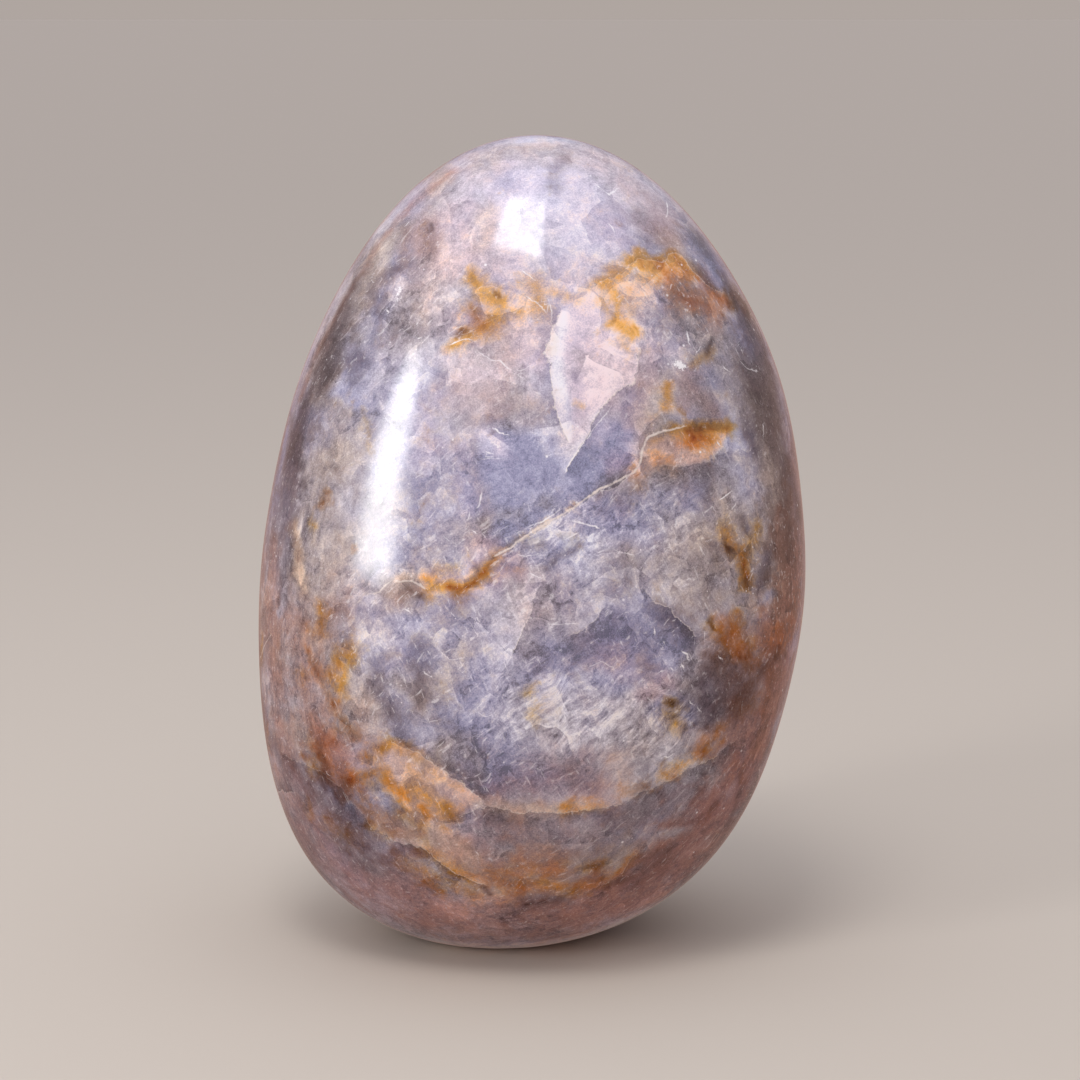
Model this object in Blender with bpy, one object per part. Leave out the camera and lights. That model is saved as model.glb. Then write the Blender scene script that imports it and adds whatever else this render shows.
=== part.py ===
"""Blue rose quartz: a polished free-form stone that stands, narrow end up, on a small ground flat.

Run it with: blender --background --python part.py
Metres, +Z up. The front of the stone faces -Y and its right side faces +X.
The origin is on the surface that the stone stands on, under the middle of its box.
"""

import math

import bpy
import numpy as np
from mathutils import Vector

STONE_NAME = "stone"

# The front outline: the distance from its centre to its edge, every 22.5 degrees from +X towards +Z.
OUTLINE_RADII = (
    0.0321, 0.0334, 0.0378, 0.0445, 0.0490, 0.0433, 0.0359, 0.0320,
    0.0317, 0.0348, 0.0421, 0.0472, 0.0463, 0.0434, 0.0378, 0.0334,
)
CENTRE_HEIGHT = 0.0450

# Half the depth at mid height, how much it grows towards the base, and how much fuller both ends are.
HALF_DEPTH = 0.0250
BASE_FULLNESS = 0.0060
END_FULLNESS = 0.0080
FRONT_SWELL = 0.05
BACKWARD_LEAN = 0.0012

# Faces that the grinding left a little flatter: azimuth (0 is the front, 90 the right side), elevation,
# both in degrees, and how far the face is ground in.
GROUND_FACES = (
    (192.0, -4.0, 0.0016),
    (128.0, 14.0, 0.0010),
    (250.0, -16.0, 0.0011),
    (40.0, -30.0, 0.0007),
    (335.0, 22.0, 0.0005),
)
GRIND_SOFTNESS = 0.0012

SPHERE_SUBDIVISIONS = 5
SMOOTH_ANGLE = math.radians(30.0)

FLOOR_CUTTER_SIZE = 0.120

STONE_COLOUR = (0.376, 0.296, 0.328, 1.0)
POLISH_ROUGHNESS = 0.08


def clear_scene() -> None:
    """Remove every object of the open scene."""
    for thing in list(bpy.data.objects):
        bpy.data.objects.remove(thing, do_unlink=True)


def make_collection(name: str) -> bpy.types.Collection:
    """Make a collection of this name under the scene's own."""
    collection = bpy.data.collections.new(name)
    bpy.context.scene.collection.children.link(collection)
    return collection


def move_to(thing: bpy.types.Object, collection: bpy.types.Collection) -> None:
    """Put an object in one collection and in no other."""
    for old in list(thing.users_collection):
        old.objects.unlink(thing)
    collection.objects.link(thing)


def outline_radius(directions: np.ndarray) -> np.ndarray:
    """The outline's radius, carried smoothly over the whole sphere of directions.

    With w = x + i z, the radius is the real part of the sum of c_k w^k, where the c_k are the
    Fourier terms of OUTLINE_RADII. On the outline w has length 1, so every listed radius is met.
    Towards the front and the back w shrinks to 0, and the radius settles to the mean.
    """
    count = len(OUTLINE_RADII)
    terms = np.fft.fft(OUTLINE_RADII) / count
    w = directions[:, 0] + 1j * directions[:, 2]
    radius = np.full(len(directions), terms[0].real)
    for k in range(1, count // 2 + 1):
        share = 1.0 if k == count // 2 else 2.0
        radius += share * (terms[k] * w**k).real
    return radius


def tumbled_form(directions: np.ndarray) -> np.ndarray:
    """Points of the rounded stone, before the flatter faces are ground, for unit directions."""
    x, y, z = directions.T
    radius = outline_radius(directions)
    half_depth = HALF_DEPTH - BASE_FULLNESS * z + END_FULLNESS * z**2
    depth = half_depth * y * (1.0 - FRONT_SWELL * y) + BACKWARD_LEAN * z
    return np.stack([radius * x, depth, CENTRE_HEIGHT + radius * z], axis=1)


def grind_face(points: np.ndarray, azimuth: float, elevation: float, depth: float) -> np.ndarray:
    """Press the points beyond a plane back to it, with a soft edge.

    The plane lies at this depth under the outermost point. A point at height h over the plane
    moves back by s ln(1 + e^(h / s)), where s is GRIND_SOFTNESS.
    """
    a = math.radians(azimuth)
    e = math.radians(elevation)
    normal = np.array([math.sin(a) * math.cos(e), -math.cos(a) * math.cos(e), math.sin(e)])
    reach = points @ normal
    over = reach - (reach.max() - depth)
    moved = GRIND_SOFTNESS * np.logaddexp(0.0, over / GRIND_SOFTNESS)
    return points - moved[:, None] * normal


def polished_form(directions: np.ndarray) -> np.ndarray:
    """Points of the whole ground form, its box centred on X and Y."""
    points = tumbled_form(directions)
    for azimuth, elevation, depth in GROUND_FACES:
        points = grind_face(points, azimuth, elevation, depth)
    middle = (points.min(axis=0) + points.max(axis=0)) / 2.0
    middle[2] = 0.0
    return points - middle


def stone_material() -> bpy.types.Material:
    """Polished greyish mauve quartz."""
    material = bpy.data.materials.new("polished_quartz")
    material.use_nodes = True
    shader = material.node_tree.nodes["Principled BSDF"]
    shader.inputs["Base Color"].default_value = STONE_COLOUR
    shader.inputs["Roughness"].default_value = POLISH_ROUGHNESS
    shader.inputs["Metallic"].default_value = 0.0
    material.diffuse_color = STONE_COLOUR
    return material


def make_stone(collection: bpy.types.Collection) -> bpy.types.Object:
    """A sphere of even triangles, each vertex moved out to the stone's form."""
    bpy.ops.mesh.primitive_ico_sphere_add(subdivisions=SPHERE_SUBDIVISIONS, radius=1.0)
    stone = bpy.context.object
    stone.name = STONE_NAME
    mesh = stone.data
    mesh.name = STONE_NAME
    coordinates = np.empty(len(mesh.vertices) * 3)
    mesh.vertices.foreach_get("co", coordinates)
    directions = coordinates.reshape(-1, 3)
    directions /= np.linalg.norm(directions, axis=1)[:, None]
    mesh.vertices.foreach_set("co", polished_form(directions).ravel())
    mesh.update()
    mesh.materials.append(stone_material())
    mesh.shade_smooth()
    move_to(stone, collection)
    return stone


def make_floor_cutter(collection: bpy.types.Collection) -> bpy.types.Object:
    """A cube whose top face is the surface that the stone stands on."""
    centre = Vector((0.0, 0.0, -FLOOR_CUTTER_SIZE / 2.0))
    bpy.ops.mesh.primitive_cube_add(size=FLOOR_CUTTER_SIZE, location=centre)
    cutter = bpy.context.object
    cutter.name = "floor_cutter"
    cutter.display_type = "WIRE"
    cutter.hide_render = True
    move_to(cutter, collection)
    return cutter


def cut_resting_flat(stone: bpy.types.Object, cutter: bpy.types.Object) -> None:
    """Cut the small flat spot that the stone rests on."""
    flat = stone.modifiers.new("resting_flat", "BOOLEAN")
    flat.operation = "DIFFERENCE"
    flat.solver = "EXACT"
    flat.object = cutter


def main() -> None:
    """Build the stone."""
    clear_scene()
    parts = make_collection("blue_rose_quartz")
    cutters = make_collection("cutters")
    stone = make_stone(parts)
    stone.data.set_sharp_from_angle(angle=SMOOTH_ANGLE)
    cut_resting_flat(stone, make_floor_cutter(cutters))


main()
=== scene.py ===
"""Blue rose quartz: a polished free-form stone that stands on a small ground flat, dressed for the camera.

The stone is one closed mesh, worked out from the outline and depths of the CAD solid that it replaces.
Marks inside the quartz are written in pixels of the front view or in azimuth and height on the
other sides, and become fields on the mesh. The material breaks those fields up with fine noise.
Lengths on the stone are in millimetres until the mesh is written, which is in metres.
"""

import itertools
import logging
import math
from dataclasses import dataclass, field
from enum import Enum

import bpy
import numpy as np
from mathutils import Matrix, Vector


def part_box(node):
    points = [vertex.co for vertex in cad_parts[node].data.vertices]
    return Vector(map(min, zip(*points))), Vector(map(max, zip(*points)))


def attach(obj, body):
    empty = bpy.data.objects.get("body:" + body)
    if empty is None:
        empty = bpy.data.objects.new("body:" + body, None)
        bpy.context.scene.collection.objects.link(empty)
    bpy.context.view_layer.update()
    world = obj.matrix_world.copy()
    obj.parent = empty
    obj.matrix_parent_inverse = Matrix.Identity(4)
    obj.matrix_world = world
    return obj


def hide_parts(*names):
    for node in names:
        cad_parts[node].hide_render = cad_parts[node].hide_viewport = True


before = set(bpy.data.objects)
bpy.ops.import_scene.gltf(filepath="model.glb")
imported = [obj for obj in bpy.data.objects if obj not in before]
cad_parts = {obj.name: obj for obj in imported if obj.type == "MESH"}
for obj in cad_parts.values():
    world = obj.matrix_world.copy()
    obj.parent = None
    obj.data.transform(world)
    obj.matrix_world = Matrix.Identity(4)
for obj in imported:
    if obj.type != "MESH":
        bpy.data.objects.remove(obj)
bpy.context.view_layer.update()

MM = 0.001
LOG = logging.getLogger("stone")


class Chart(Enum):
    """How the points of a mark are given."""

    FRONT = "pixels of the front view, x to the right and y down"
    ROUND = "azimuth in degrees, 0 at the front and 90 on the right, and height in millimetres"


class Field(Enum):
    """The fields that the marks are painted into, each a float attribute of the mesh."""

    MILK = "milk"
    BLUE = "blue"
    # Smoke: the stone's own smoky quartz, and painted shade along the rims.
    SMOKE = "smoke"
    ROSE = "rose"
    TAN = "tan"
    # Brown: some of the stone's own iron colour, and painted reflection and painted shade along the rims and
    # at the foot.
    BROWN = "brown"
    GRIT = "grit"
    FALL = "fall"
    SLANT = "slant"
    OCHRE = "ochre"
    RUST = "rust"
    CREAM = "cream"
    DARK = "dark"
    GLINT = "glint"


RAGGED = {Field.OCHRE, Field.RUST, Field.CREAM, Field.DARK, Field.GLINT}


class Seam(Enum):
    """Groups of thin lines. Lines of one group keep well apart, so that one distance serves them all."""

    CRACK = "crack"
    # Edges of plates: a painted highlight on the lit side and painted shade on the other.
    EDGE = "edge"
    # White wisps of the quartz; the shortest, a pixel or two long, are painted glints.
    WISP = "wisp"


@dataclass(frozen=True)
class StoneForm:
    """The stone's rounded form, in millimetres, as the CAD solid has it."""

    outline: tuple[float, ...] = (
        32.1, 33.4, 37.8, 44.5, 49.0, 43.3, 35.9, 32.0,
        31.7, 34.8, 42.1, 47.2, 46.3, 43.4, 37.8, 33.4,
    )
    centre_height: float = 45.0
    half_depth: float = 25.0
    base_fullness: float = 6.0
    end_fullness: float = 8.0
    front_swell: float = 0.05
    backward_lean: float = 1.2
    ground_faces: tuple[tuple[float, float, float], ...] = (
        (192.0, -4.0, 1.6),
        (128.0, 14.0, 1.0),
        (250.0, -16.0, 1.1),
        (40.0, -30.0, 0.7),
        (335.0, 22.0, 0.5),
    )
    grind_softness: float = 1.2

    def outline_radius(self, directions: np.ndarray) -> np.ndarray:
        """Carry the outline's radius smoothly over the sphere of directions.

        With w = x + i z, the radius is the real part of the sum of c_k w^k, where the c_k are the
        Fourier terms of the outline.

        Args:
            directions: unit directions, one a row.

        Returns:
            One radius a row, in millimetres.
        """
        count = len(self.outline)
        terms = np.fft.fft(self.outline) / count
        w = directions[:, 0] + 1j * directions[:, 2]
        radius = np.full(len(directions), terms[0].real)
        for k in range(1, count // 2 + 1):
            share = 1.0 if k == count // 2 else 2.0
            radius += share * (terms[k] * w**k).real
        return radius

    def grind(self, points: np.ndarray, azimuth: float, elevation: float, depth: float) -> np.ndarray:
        """Press the points beyond a plane back to it, with a soft edge.

        A point at height h over the plane moves back by s ln(1 + e^(h / s)).

        Args:
            points: points of the form.
            azimuth: where the face looks, in degrees; 0 is the front and 90 the right side.
            elevation: how far it looks up, in degrees.
            depth: how far the plane lies under the outermost point.

        Returns:
            The ground points.
        """
        normal = direction(azimuth, elevation)
        reach = points @ normal
        over = reach - (reach.max() - depth)
        moved = self.grind_softness * np.logaddexp(0.0, over / self.grind_softness)
        return points - moved[:, None] * normal

    def points(self, directions: np.ndarray) -> np.ndarray:
        """Points of the ground form, cut flat where it stands.

        Args:
            directions: unit directions, one a row.

        Returns:
            One point a row, in millimetres, with the resting flat at height 0.
        """
        x, y, z = directions.T
        radius = self.outline_radius(directions)
        half_depth = self.half_depth - self.base_fullness * z + self.end_fullness * z**2
        depth = half_depth * y * (1.0 - self.front_swell * y) + self.backward_lean * z
        points = np.stack([radius * x, depth, self.centre_height + radius * z], axis=1)
        for azimuth, elevation, ground in self.ground_faces:
            points = self.grind(points, azimuth, elevation, ground)
        points[:, 2] = np.maximum(points[:, 2], 0.0)
        return points


def direction(azimuth: float, elevation: float) -> np.ndarray:
    """The unit direction that looks at this azimuth and elevation, in degrees."""
    a = math.radians(azimuth)
    e = math.radians(elevation)
    return np.array([math.sin(a) * math.cos(e), -math.cos(a) * math.cos(e), math.sin(e)])


@dataclass(frozen=True)
class SphereNet:
    """A net over the sphere: a fine front patch, a ring of half the density and a back patch.

    The front patch is a square grid squeezed towards a disc of directions round -Y. Its rim meets
    the ring with two fine edges to each coarse one, and the ring runs round to the same rim,
    mirrored, which the back patch fills.
    """

    across: int = 200
    up: int = 300
    ring_rows: int = 44
    rim: float = 0.86
    squeeze: float = 0.8

    def disc(self, a: np.ndarray, b: np.ndarray) -> np.ndarray:
        """Squeeze the square towards a disc.

        A point (a, b) goes to rim times (a sqrt(1 - k b^2 / 2), b sqrt(1 - k a^2 / 2)), where k is
        the squeeze.

        Args:
            a: places across, from -1 to 1.
            b: places up, from -1 to 1.

        Returns:
            The x and z of unit directions, in the last axis.
        """
        k = self.squeeze / 2.0
        return self.rim * np.stack([a * np.sqrt(1.0 - k * b**2), b * np.sqrt(1.0 - k * a**2)], axis=-1)

    def patch(self, across: int, up: int, sign: float) -> np.ndarray:
        """Unit directions of one patch, row by row; sign is -1 in front and 1 behind."""
        rows = np.linspace(-1.0, 1.0, up + 1)
        columns = np.linspace(-1.0, 1.0, across + 1)
        b, a = np.meshgrid(rows, columns, indexing="ij")
        flat = self.disc(a, b).reshape(-1, 2)
        y = sign * np.sqrt(1.0 - (flat**2).sum(axis=1))
        return np.stack([flat[:, 0], y, flat[:, 1]], axis=1)

    @staticmethod
    def rim_loop(across: int, up: int) -> np.ndarray:
        """Numbers of a patch's rim vertices, anticlockwise from its lower left corner."""
        ids = np.arange((across + 1) * (up + 1)).reshape(up + 1, across + 1)
        return np.concatenate([ids[0, :-1], ids[:-1, -1], ids[-1, :0:-1], ids[:0:-1, 0]])

    @staticmethod
    def quads(ids: np.ndarray) -> np.ndarray:
        """Two triangles for each cell of a grid of vertex numbers."""
        a, b, c, d = ids[:-1, :-1], ids[:-1, 1:], ids[1:, 1:], ids[1:, :-1]
        first = np.stack([a, b, c], axis=-1).reshape(-1, 3)
        second = np.stack([a, c, d], axis=-1).reshape(-1, 3)
        return np.concatenate([first, second])

    def build(self) -> tuple[np.ndarray, np.ndarray]:
        """Work out the whole net.

        Returns:
            Unit directions, one a row, and triangles of their numbers with faces pointing outwards.
        """
        front = self.patch(self.across, self.up, -1.0)
        front_ids = np.arange(len(front)).reshape(self.up + 1, self.across + 1)
        fine = self.rim_loop(self.across, self.up)
        coarse = fine[::2]
        start = front[coarse]
        spread = np.arccos(-start[:, 1])
        around = np.hypot(start[:, 0], start[:, 2])
        share = np.linspace(0.0, 1.0, self.ring_rows + 1)[1:-1]
        angle = spread + share[:, None] * (math.pi - 2.0 * spread)
        x = start[:, 0] / around * np.sin(angle)
        z = start[:, 2] / around * np.sin(angle)
        ring = np.stack([x, -np.cos(angle), z], axis=-1)
        back = self.patch(self.across // 2, self.up // 2, 1.0)
        ring_ids = len(front) + np.arange(ring[..., 0].size).reshape(ring.shape[:2])
        back_start = len(front) + ring_ids.size
        back_ids = back_start + np.arange(len(back)).reshape(self.up // 2 + 1, self.across // 2 + 1)
        back_rim = back_start + self.rim_loop(self.across // 2, self.up // 2)
        rows = np.concatenate([ring_ids, back_rim[None]])
        rows = np.concatenate([rows, rows[:, :1]], axis=1)
        first = rows[0]
        middle = fine[1::2]
        last = np.append(coarse[1:], coarse[0])
        stitch = np.concatenate(
            [
                np.stack([coarse, first[:-1], middle], axis=1),
                np.stack([middle, first[:-1], first[1:]], axis=1),
                np.stack([middle, first[1:], last], axis=1),
            ]
        )
        triangles = np.concatenate(
            [self.quads(front_ids), stitch, self.quads(rows)[:, ::-1], self.quads(back_ids)[:, ::-1]]
        )
        return np.concatenate([front, ring.reshape(-1, 3), back]), triangles


class SolidNoise:
    """Smooth values from -1 to 1 all through space, the same each run."""

    SIZE = 48
    LAYER_SHIFT = 17.3
    FULL_SWING = 1.2

    def __init__(self, seed: int, channels: int = 1) -> None:
        """Fill the lattice with random numbers from this seed, a few for each place."""
        self.lattice = np.random.default_rng(seed).uniform(-1.0, 1.0, (self.SIZE,) * 3 + (channels,))

    def at(self, points: np.ndarray, cell: float) -> np.ndarray:
        """Read the noise: the eight numbers round a point, blended with the weights 3 f^2 - 2 f^3.

        Args:
            points: places, one a row.
            cell: the lattice's cell in the same unit.

        Returns:
            One row of values a point.
        """
        place = points / cell
        whole = np.floor(place).astype(int)
        part = place - whole
        part = part * part * (3.0 - 2.0 * part)
        total = np.zeros((len(points), self.lattice.shape[3]))
        for corner in itertools.product((0, 1), repeat=3):
            index = (whole + corner) % self.SIZE
            weight = np.prod(np.where(corner, part, 1.0 - part), axis=1)
            total += weight[:, None] * self.lattice[index[:, 0], index[:, 1], index[:, 2]]
        return total

    def layered(self, points: np.ndarray, cell: float, layers: int = 4) -> np.ndarray:
        """Sum of this noise at halved cells and weights, scaled back to about -1 to 1."""
        total = np.zeros((len(points), self.lattice.shape[3]))
        for n in range(layers):
            total += self.at(points + self.LAYER_SHIFT * n, cell / 2**n) / 2**n
        return total / self.FULL_SWING


@dataclass(frozen=True)
class StudioCamera:
    """The camera of the photograph: in front of the stone, looking slightly down on it."""

    lens: float = 100.0
    sensor: float = 36.0
    frame_pixels: float = 1080.0
    elevation: float = 10.0
    distance: float = 351.0
    target: tuple[float, float, float] = (0.95, 0.0, 47.14)
    clip_start: float = 0.01
    clip_end: float = 50.0

    @property
    def place(self) -> np.ndarray:
        """Where the camera stands, in millimetres."""
        return np.array(self.target) + self.distance * direction(0.0, self.elevation)

    def pixels(self, points: np.ndarray) -> np.ndarray:
        """Pixels of the front view at which points are seen.

        Args:
            points: places in millimetres, one a row.

        Returns:
            x to the right and y down, one pair a row.
        """
        back = direction(0.0, self.elevation)
        right = np.array([1.0, 0.0, 0.0])
        up = np.cross(back, right)
        seen = points - self.place
        depth = -(seen @ back)
        scale = self.frame_pixels * self.lens / self.sensor / depth
        middle = self.frame_pixels / 2.0
        return np.stack([middle + scale * (seen @ right), middle - scale * (seen @ up)], axis=1)

    def make(self) -> bpy.types.Object:
        """Set up the camera and make it the scene's."""
        data = bpy.data.cameras.new("studio_camera")
        data.lens = self.lens
        data.sensor_width = self.sensor
        data.clip_start = self.clip_start
        data.clip_end = self.clip_end
        camera = bpy.data.objects.new("studio_camera", data)
        bpy.context.scene.collection.objects.link(camera)
        camera.location = self.place * MM
        look = Vector(-direction(0.0, self.elevation))
        camera.rotation_euler = look.to_track_quat("-Z", "Y").to_euler()
        bpy.context.scene.camera = camera
        return camera


Point = tuple[float, float]
Row = tuple[float, ...]


@dataclass(frozen=True)
class Mark:
    """A soft or ragged mark in the quartz that follows a path.

    Attributes:
        field: what it adds to.
        points: the path, on its chart.
        width: half width in millimetres.
        level: the value that a soft field takes there, or the strength of a ragged one.
        chart: how the points are given.
    """

    field: Field
    points: tuple[Point, ...]
    width: float
    level: float
    chart: Chart


@dataclass(frozen=True)
class Plate:
    """A flat veil or a clear window inside the quartz, seen as a filled outline in the front view.

    Attributes:
        field: what it adds to.
        outline: corners in pixels of the front view.
        soft: millimetres over which its edge fades.
        level: the value inside.
    """

    field: Field
    outline: tuple[Point, ...]
    soft: float
    level: float


@dataclass(frozen=True)
class Line:
    """A thin line: a healed crack, a plate's lit edge or a white wisp.

    Attributes:
        seam: the group that it belongs to.
        points: the path, on its chart. The lit side of an edge is on its right, seen from outside.
        strength: its strength at each end, from 0 to 1.
        chart: how the points are given.
    """

    seam: Seam
    points: tuple[Point, ...]
    strength: tuple[float, float]
    chart: Chart


@dataclass(frozen=True)
class Feature:
    """One thing in the stone, such as a stain or a veil, and the marks that make it up."""

    name: str
    marks: tuple[Mark | Plate | Line, ...]


def path(row: Row) -> tuple[Point, ...]:
    """The points of a row, whose first two numbers say something else."""
    return tuple(zip(row[2::2], row[3::2]))


def washes(name: Field, *rows: Row) -> tuple[Mark, ...]:
    """Marks of one field on the front chart. A row is a level, a half width, then x and y of each point."""
    return tuple(Mark(name, path(row), row[1], row[0], Chart.FRONT) for row in rows)


def patches(name: Field, *rows: Row) -> tuple[Plate, ...]:
    """Outlines on the front chart. A row is a level, the edge's softness, then x and y of each corner."""
    return tuple(Plate(name, path(row), row[1], row[0]) for row in rows)


def seams(group: Seam, *rows: Row) -> tuple[Line, ...]:
    """Lines on the front chart. A row is the strength at both ends, then x and y of each point."""
    return tuple(Line(group, path(row), row[:2], Chart.FRONT) for row in rows)


def far_washes(name: Field, *rows: Row) -> tuple[Mark, ...]:
    """Marks like those of washes, on the round chart."""
    return tuple(Mark(name, path(row), row[1], row[0], Chart.ROUND) for row in rows)


def far_seams(group: Seam, *rows: Row) -> tuple[Line, ...]:
    """Lines like those of seams, on the round chart."""
    return tuple(Line(group, path(row), row[:2], Chart.ROUND) for row in rows)


def feature(name: str, *groups: tuple[Mark | Plate | Line, ...]) -> Feature:
    """One thing in the stone, from groups of marks. Their order counts only within a field."""
    return Feature(name, tuple(itertools.chain.from_iterable(groups)))


class Surface:
    """The stone's mesh points, with the charts that place marks on them."""

    HIDDEN = 1e12
    MM_PER_DEGREE = 0.5
    NEAREST = 4
    LEAST_APART = 1e-3

    def __init__(self, points: np.ndarray, triangles: np.ndarray, camera: StudioCamera) -> None:
        """Keep the points in millimetres and work out normals, pixels and azimuths.

        Args:
            points: mesh points in millimetres.
            triangles: vertex numbers of the faces.
            camera: the camera whose pixels the front chart uses.
        """
        self.points = points
        self.camera = camera
        self.normals = self.vertex_normals(points, triangles)
        self.pixels = camera.pixels(points)
        sight = points - camera.place
        self.seen = (sight * self.normals).sum(axis=1) < 0.0
        azimuth = np.degrees(np.arctan2(points[:, 0], -points[:, 1]))
        self.round = np.stack([azimuth, points[:, 2]], axis=1)

    @staticmethod
    def vertex_normals(points: np.ndarray, triangles: np.ndarray) -> np.ndarray:
        """Unit normals: the sum of each vertex's face normals, weighted by area."""
        corner = points[triangles]
        face = np.cross(corner[:, 1] - corner[:, 0], corner[:, 2] - corner[:, 0])
        total = np.zeros_like(points)
        for k in range(3):
            for axis in range(3):
                total[:, axis] += np.bincount(triangles[:, k], face[:, axis], len(points))
        return total / np.linalg.norm(total, axis=1)[:, None]

    def offsets(self, chart: Chart, place: np.ndarray) -> np.ndarray:
        """Squared distances on a chart from one place to every vertex."""
        if chart is Chart.FRONT:
            apart = ((self.pixels - place) ** 2).sum(axis=1)
            return np.where(self.seen, apart, self.HIDDEN)
        turn = (self.round[:, 0] - place[0] + 180.0) % 360.0 - 180.0
        return (self.MM_PER_DEGREE * turn) ** 2 + (self.round[:, 1] - place[1]) ** 2

    def lift(self, chart: Chart, path: np.ndarray) -> np.ndarray:
        """Place the points of a path on the stone.

        Each is the mean of the four nearest vertices on the chart, weighted by 1 over the
        squared distance.

        Args:
            chart: how the path is given.
            path: the path's points on that chart.

        Returns:
            Points in millimetres.
        """
        lifted = []
        for place in path:
            apart = self.offsets(chart, place)
            near = np.argpartition(apart, self.NEAREST)[: self.NEAREST]
            weight = 1.0 / (apart[near] + self.LEAST_APART)
            lifted.append((self.points[near] * weight[:, None]).sum(axis=0) / weight.sum())
        return np.array(lifted)


def densify(path: np.ndarray, values: np.ndarray, step: float) -> tuple[np.ndarray, np.ndarray]:
    """Add points along a path so that none lie further apart than a step.

    Args:
        path: corners of the path.
        values: a number for each corner, carried along.
        step: the largest distance between neighbours, in the path's own unit.

    Returns:
        The denser path and its numbers.
    """
    length = np.hypot(*np.diff(path, axis=0).T)
    along = np.concatenate([[0.0], np.cumsum(length)])
    count = max(2, int(np.ceil(along[-1] / step)) + 1)
    at = np.union1d(np.linspace(0.0, along[-1], count), along)
    dense = np.stack([np.interp(at, along, path[:, k]) for k in range(2)], axis=1)
    return dense, np.interp(at, along, values)


@dataclass(frozen=True)
class PathFit:
    """How points lie to a path.

    Attributes:
        apart: distance to the path.
        number: the path's own number at the nearest place.
        side: distance with a sign for the side.
        past: how far a point lies past the path's ends.
    """

    apart: np.ndarray
    number: np.ndarray
    side: np.ndarray
    past: np.ndarray


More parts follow.
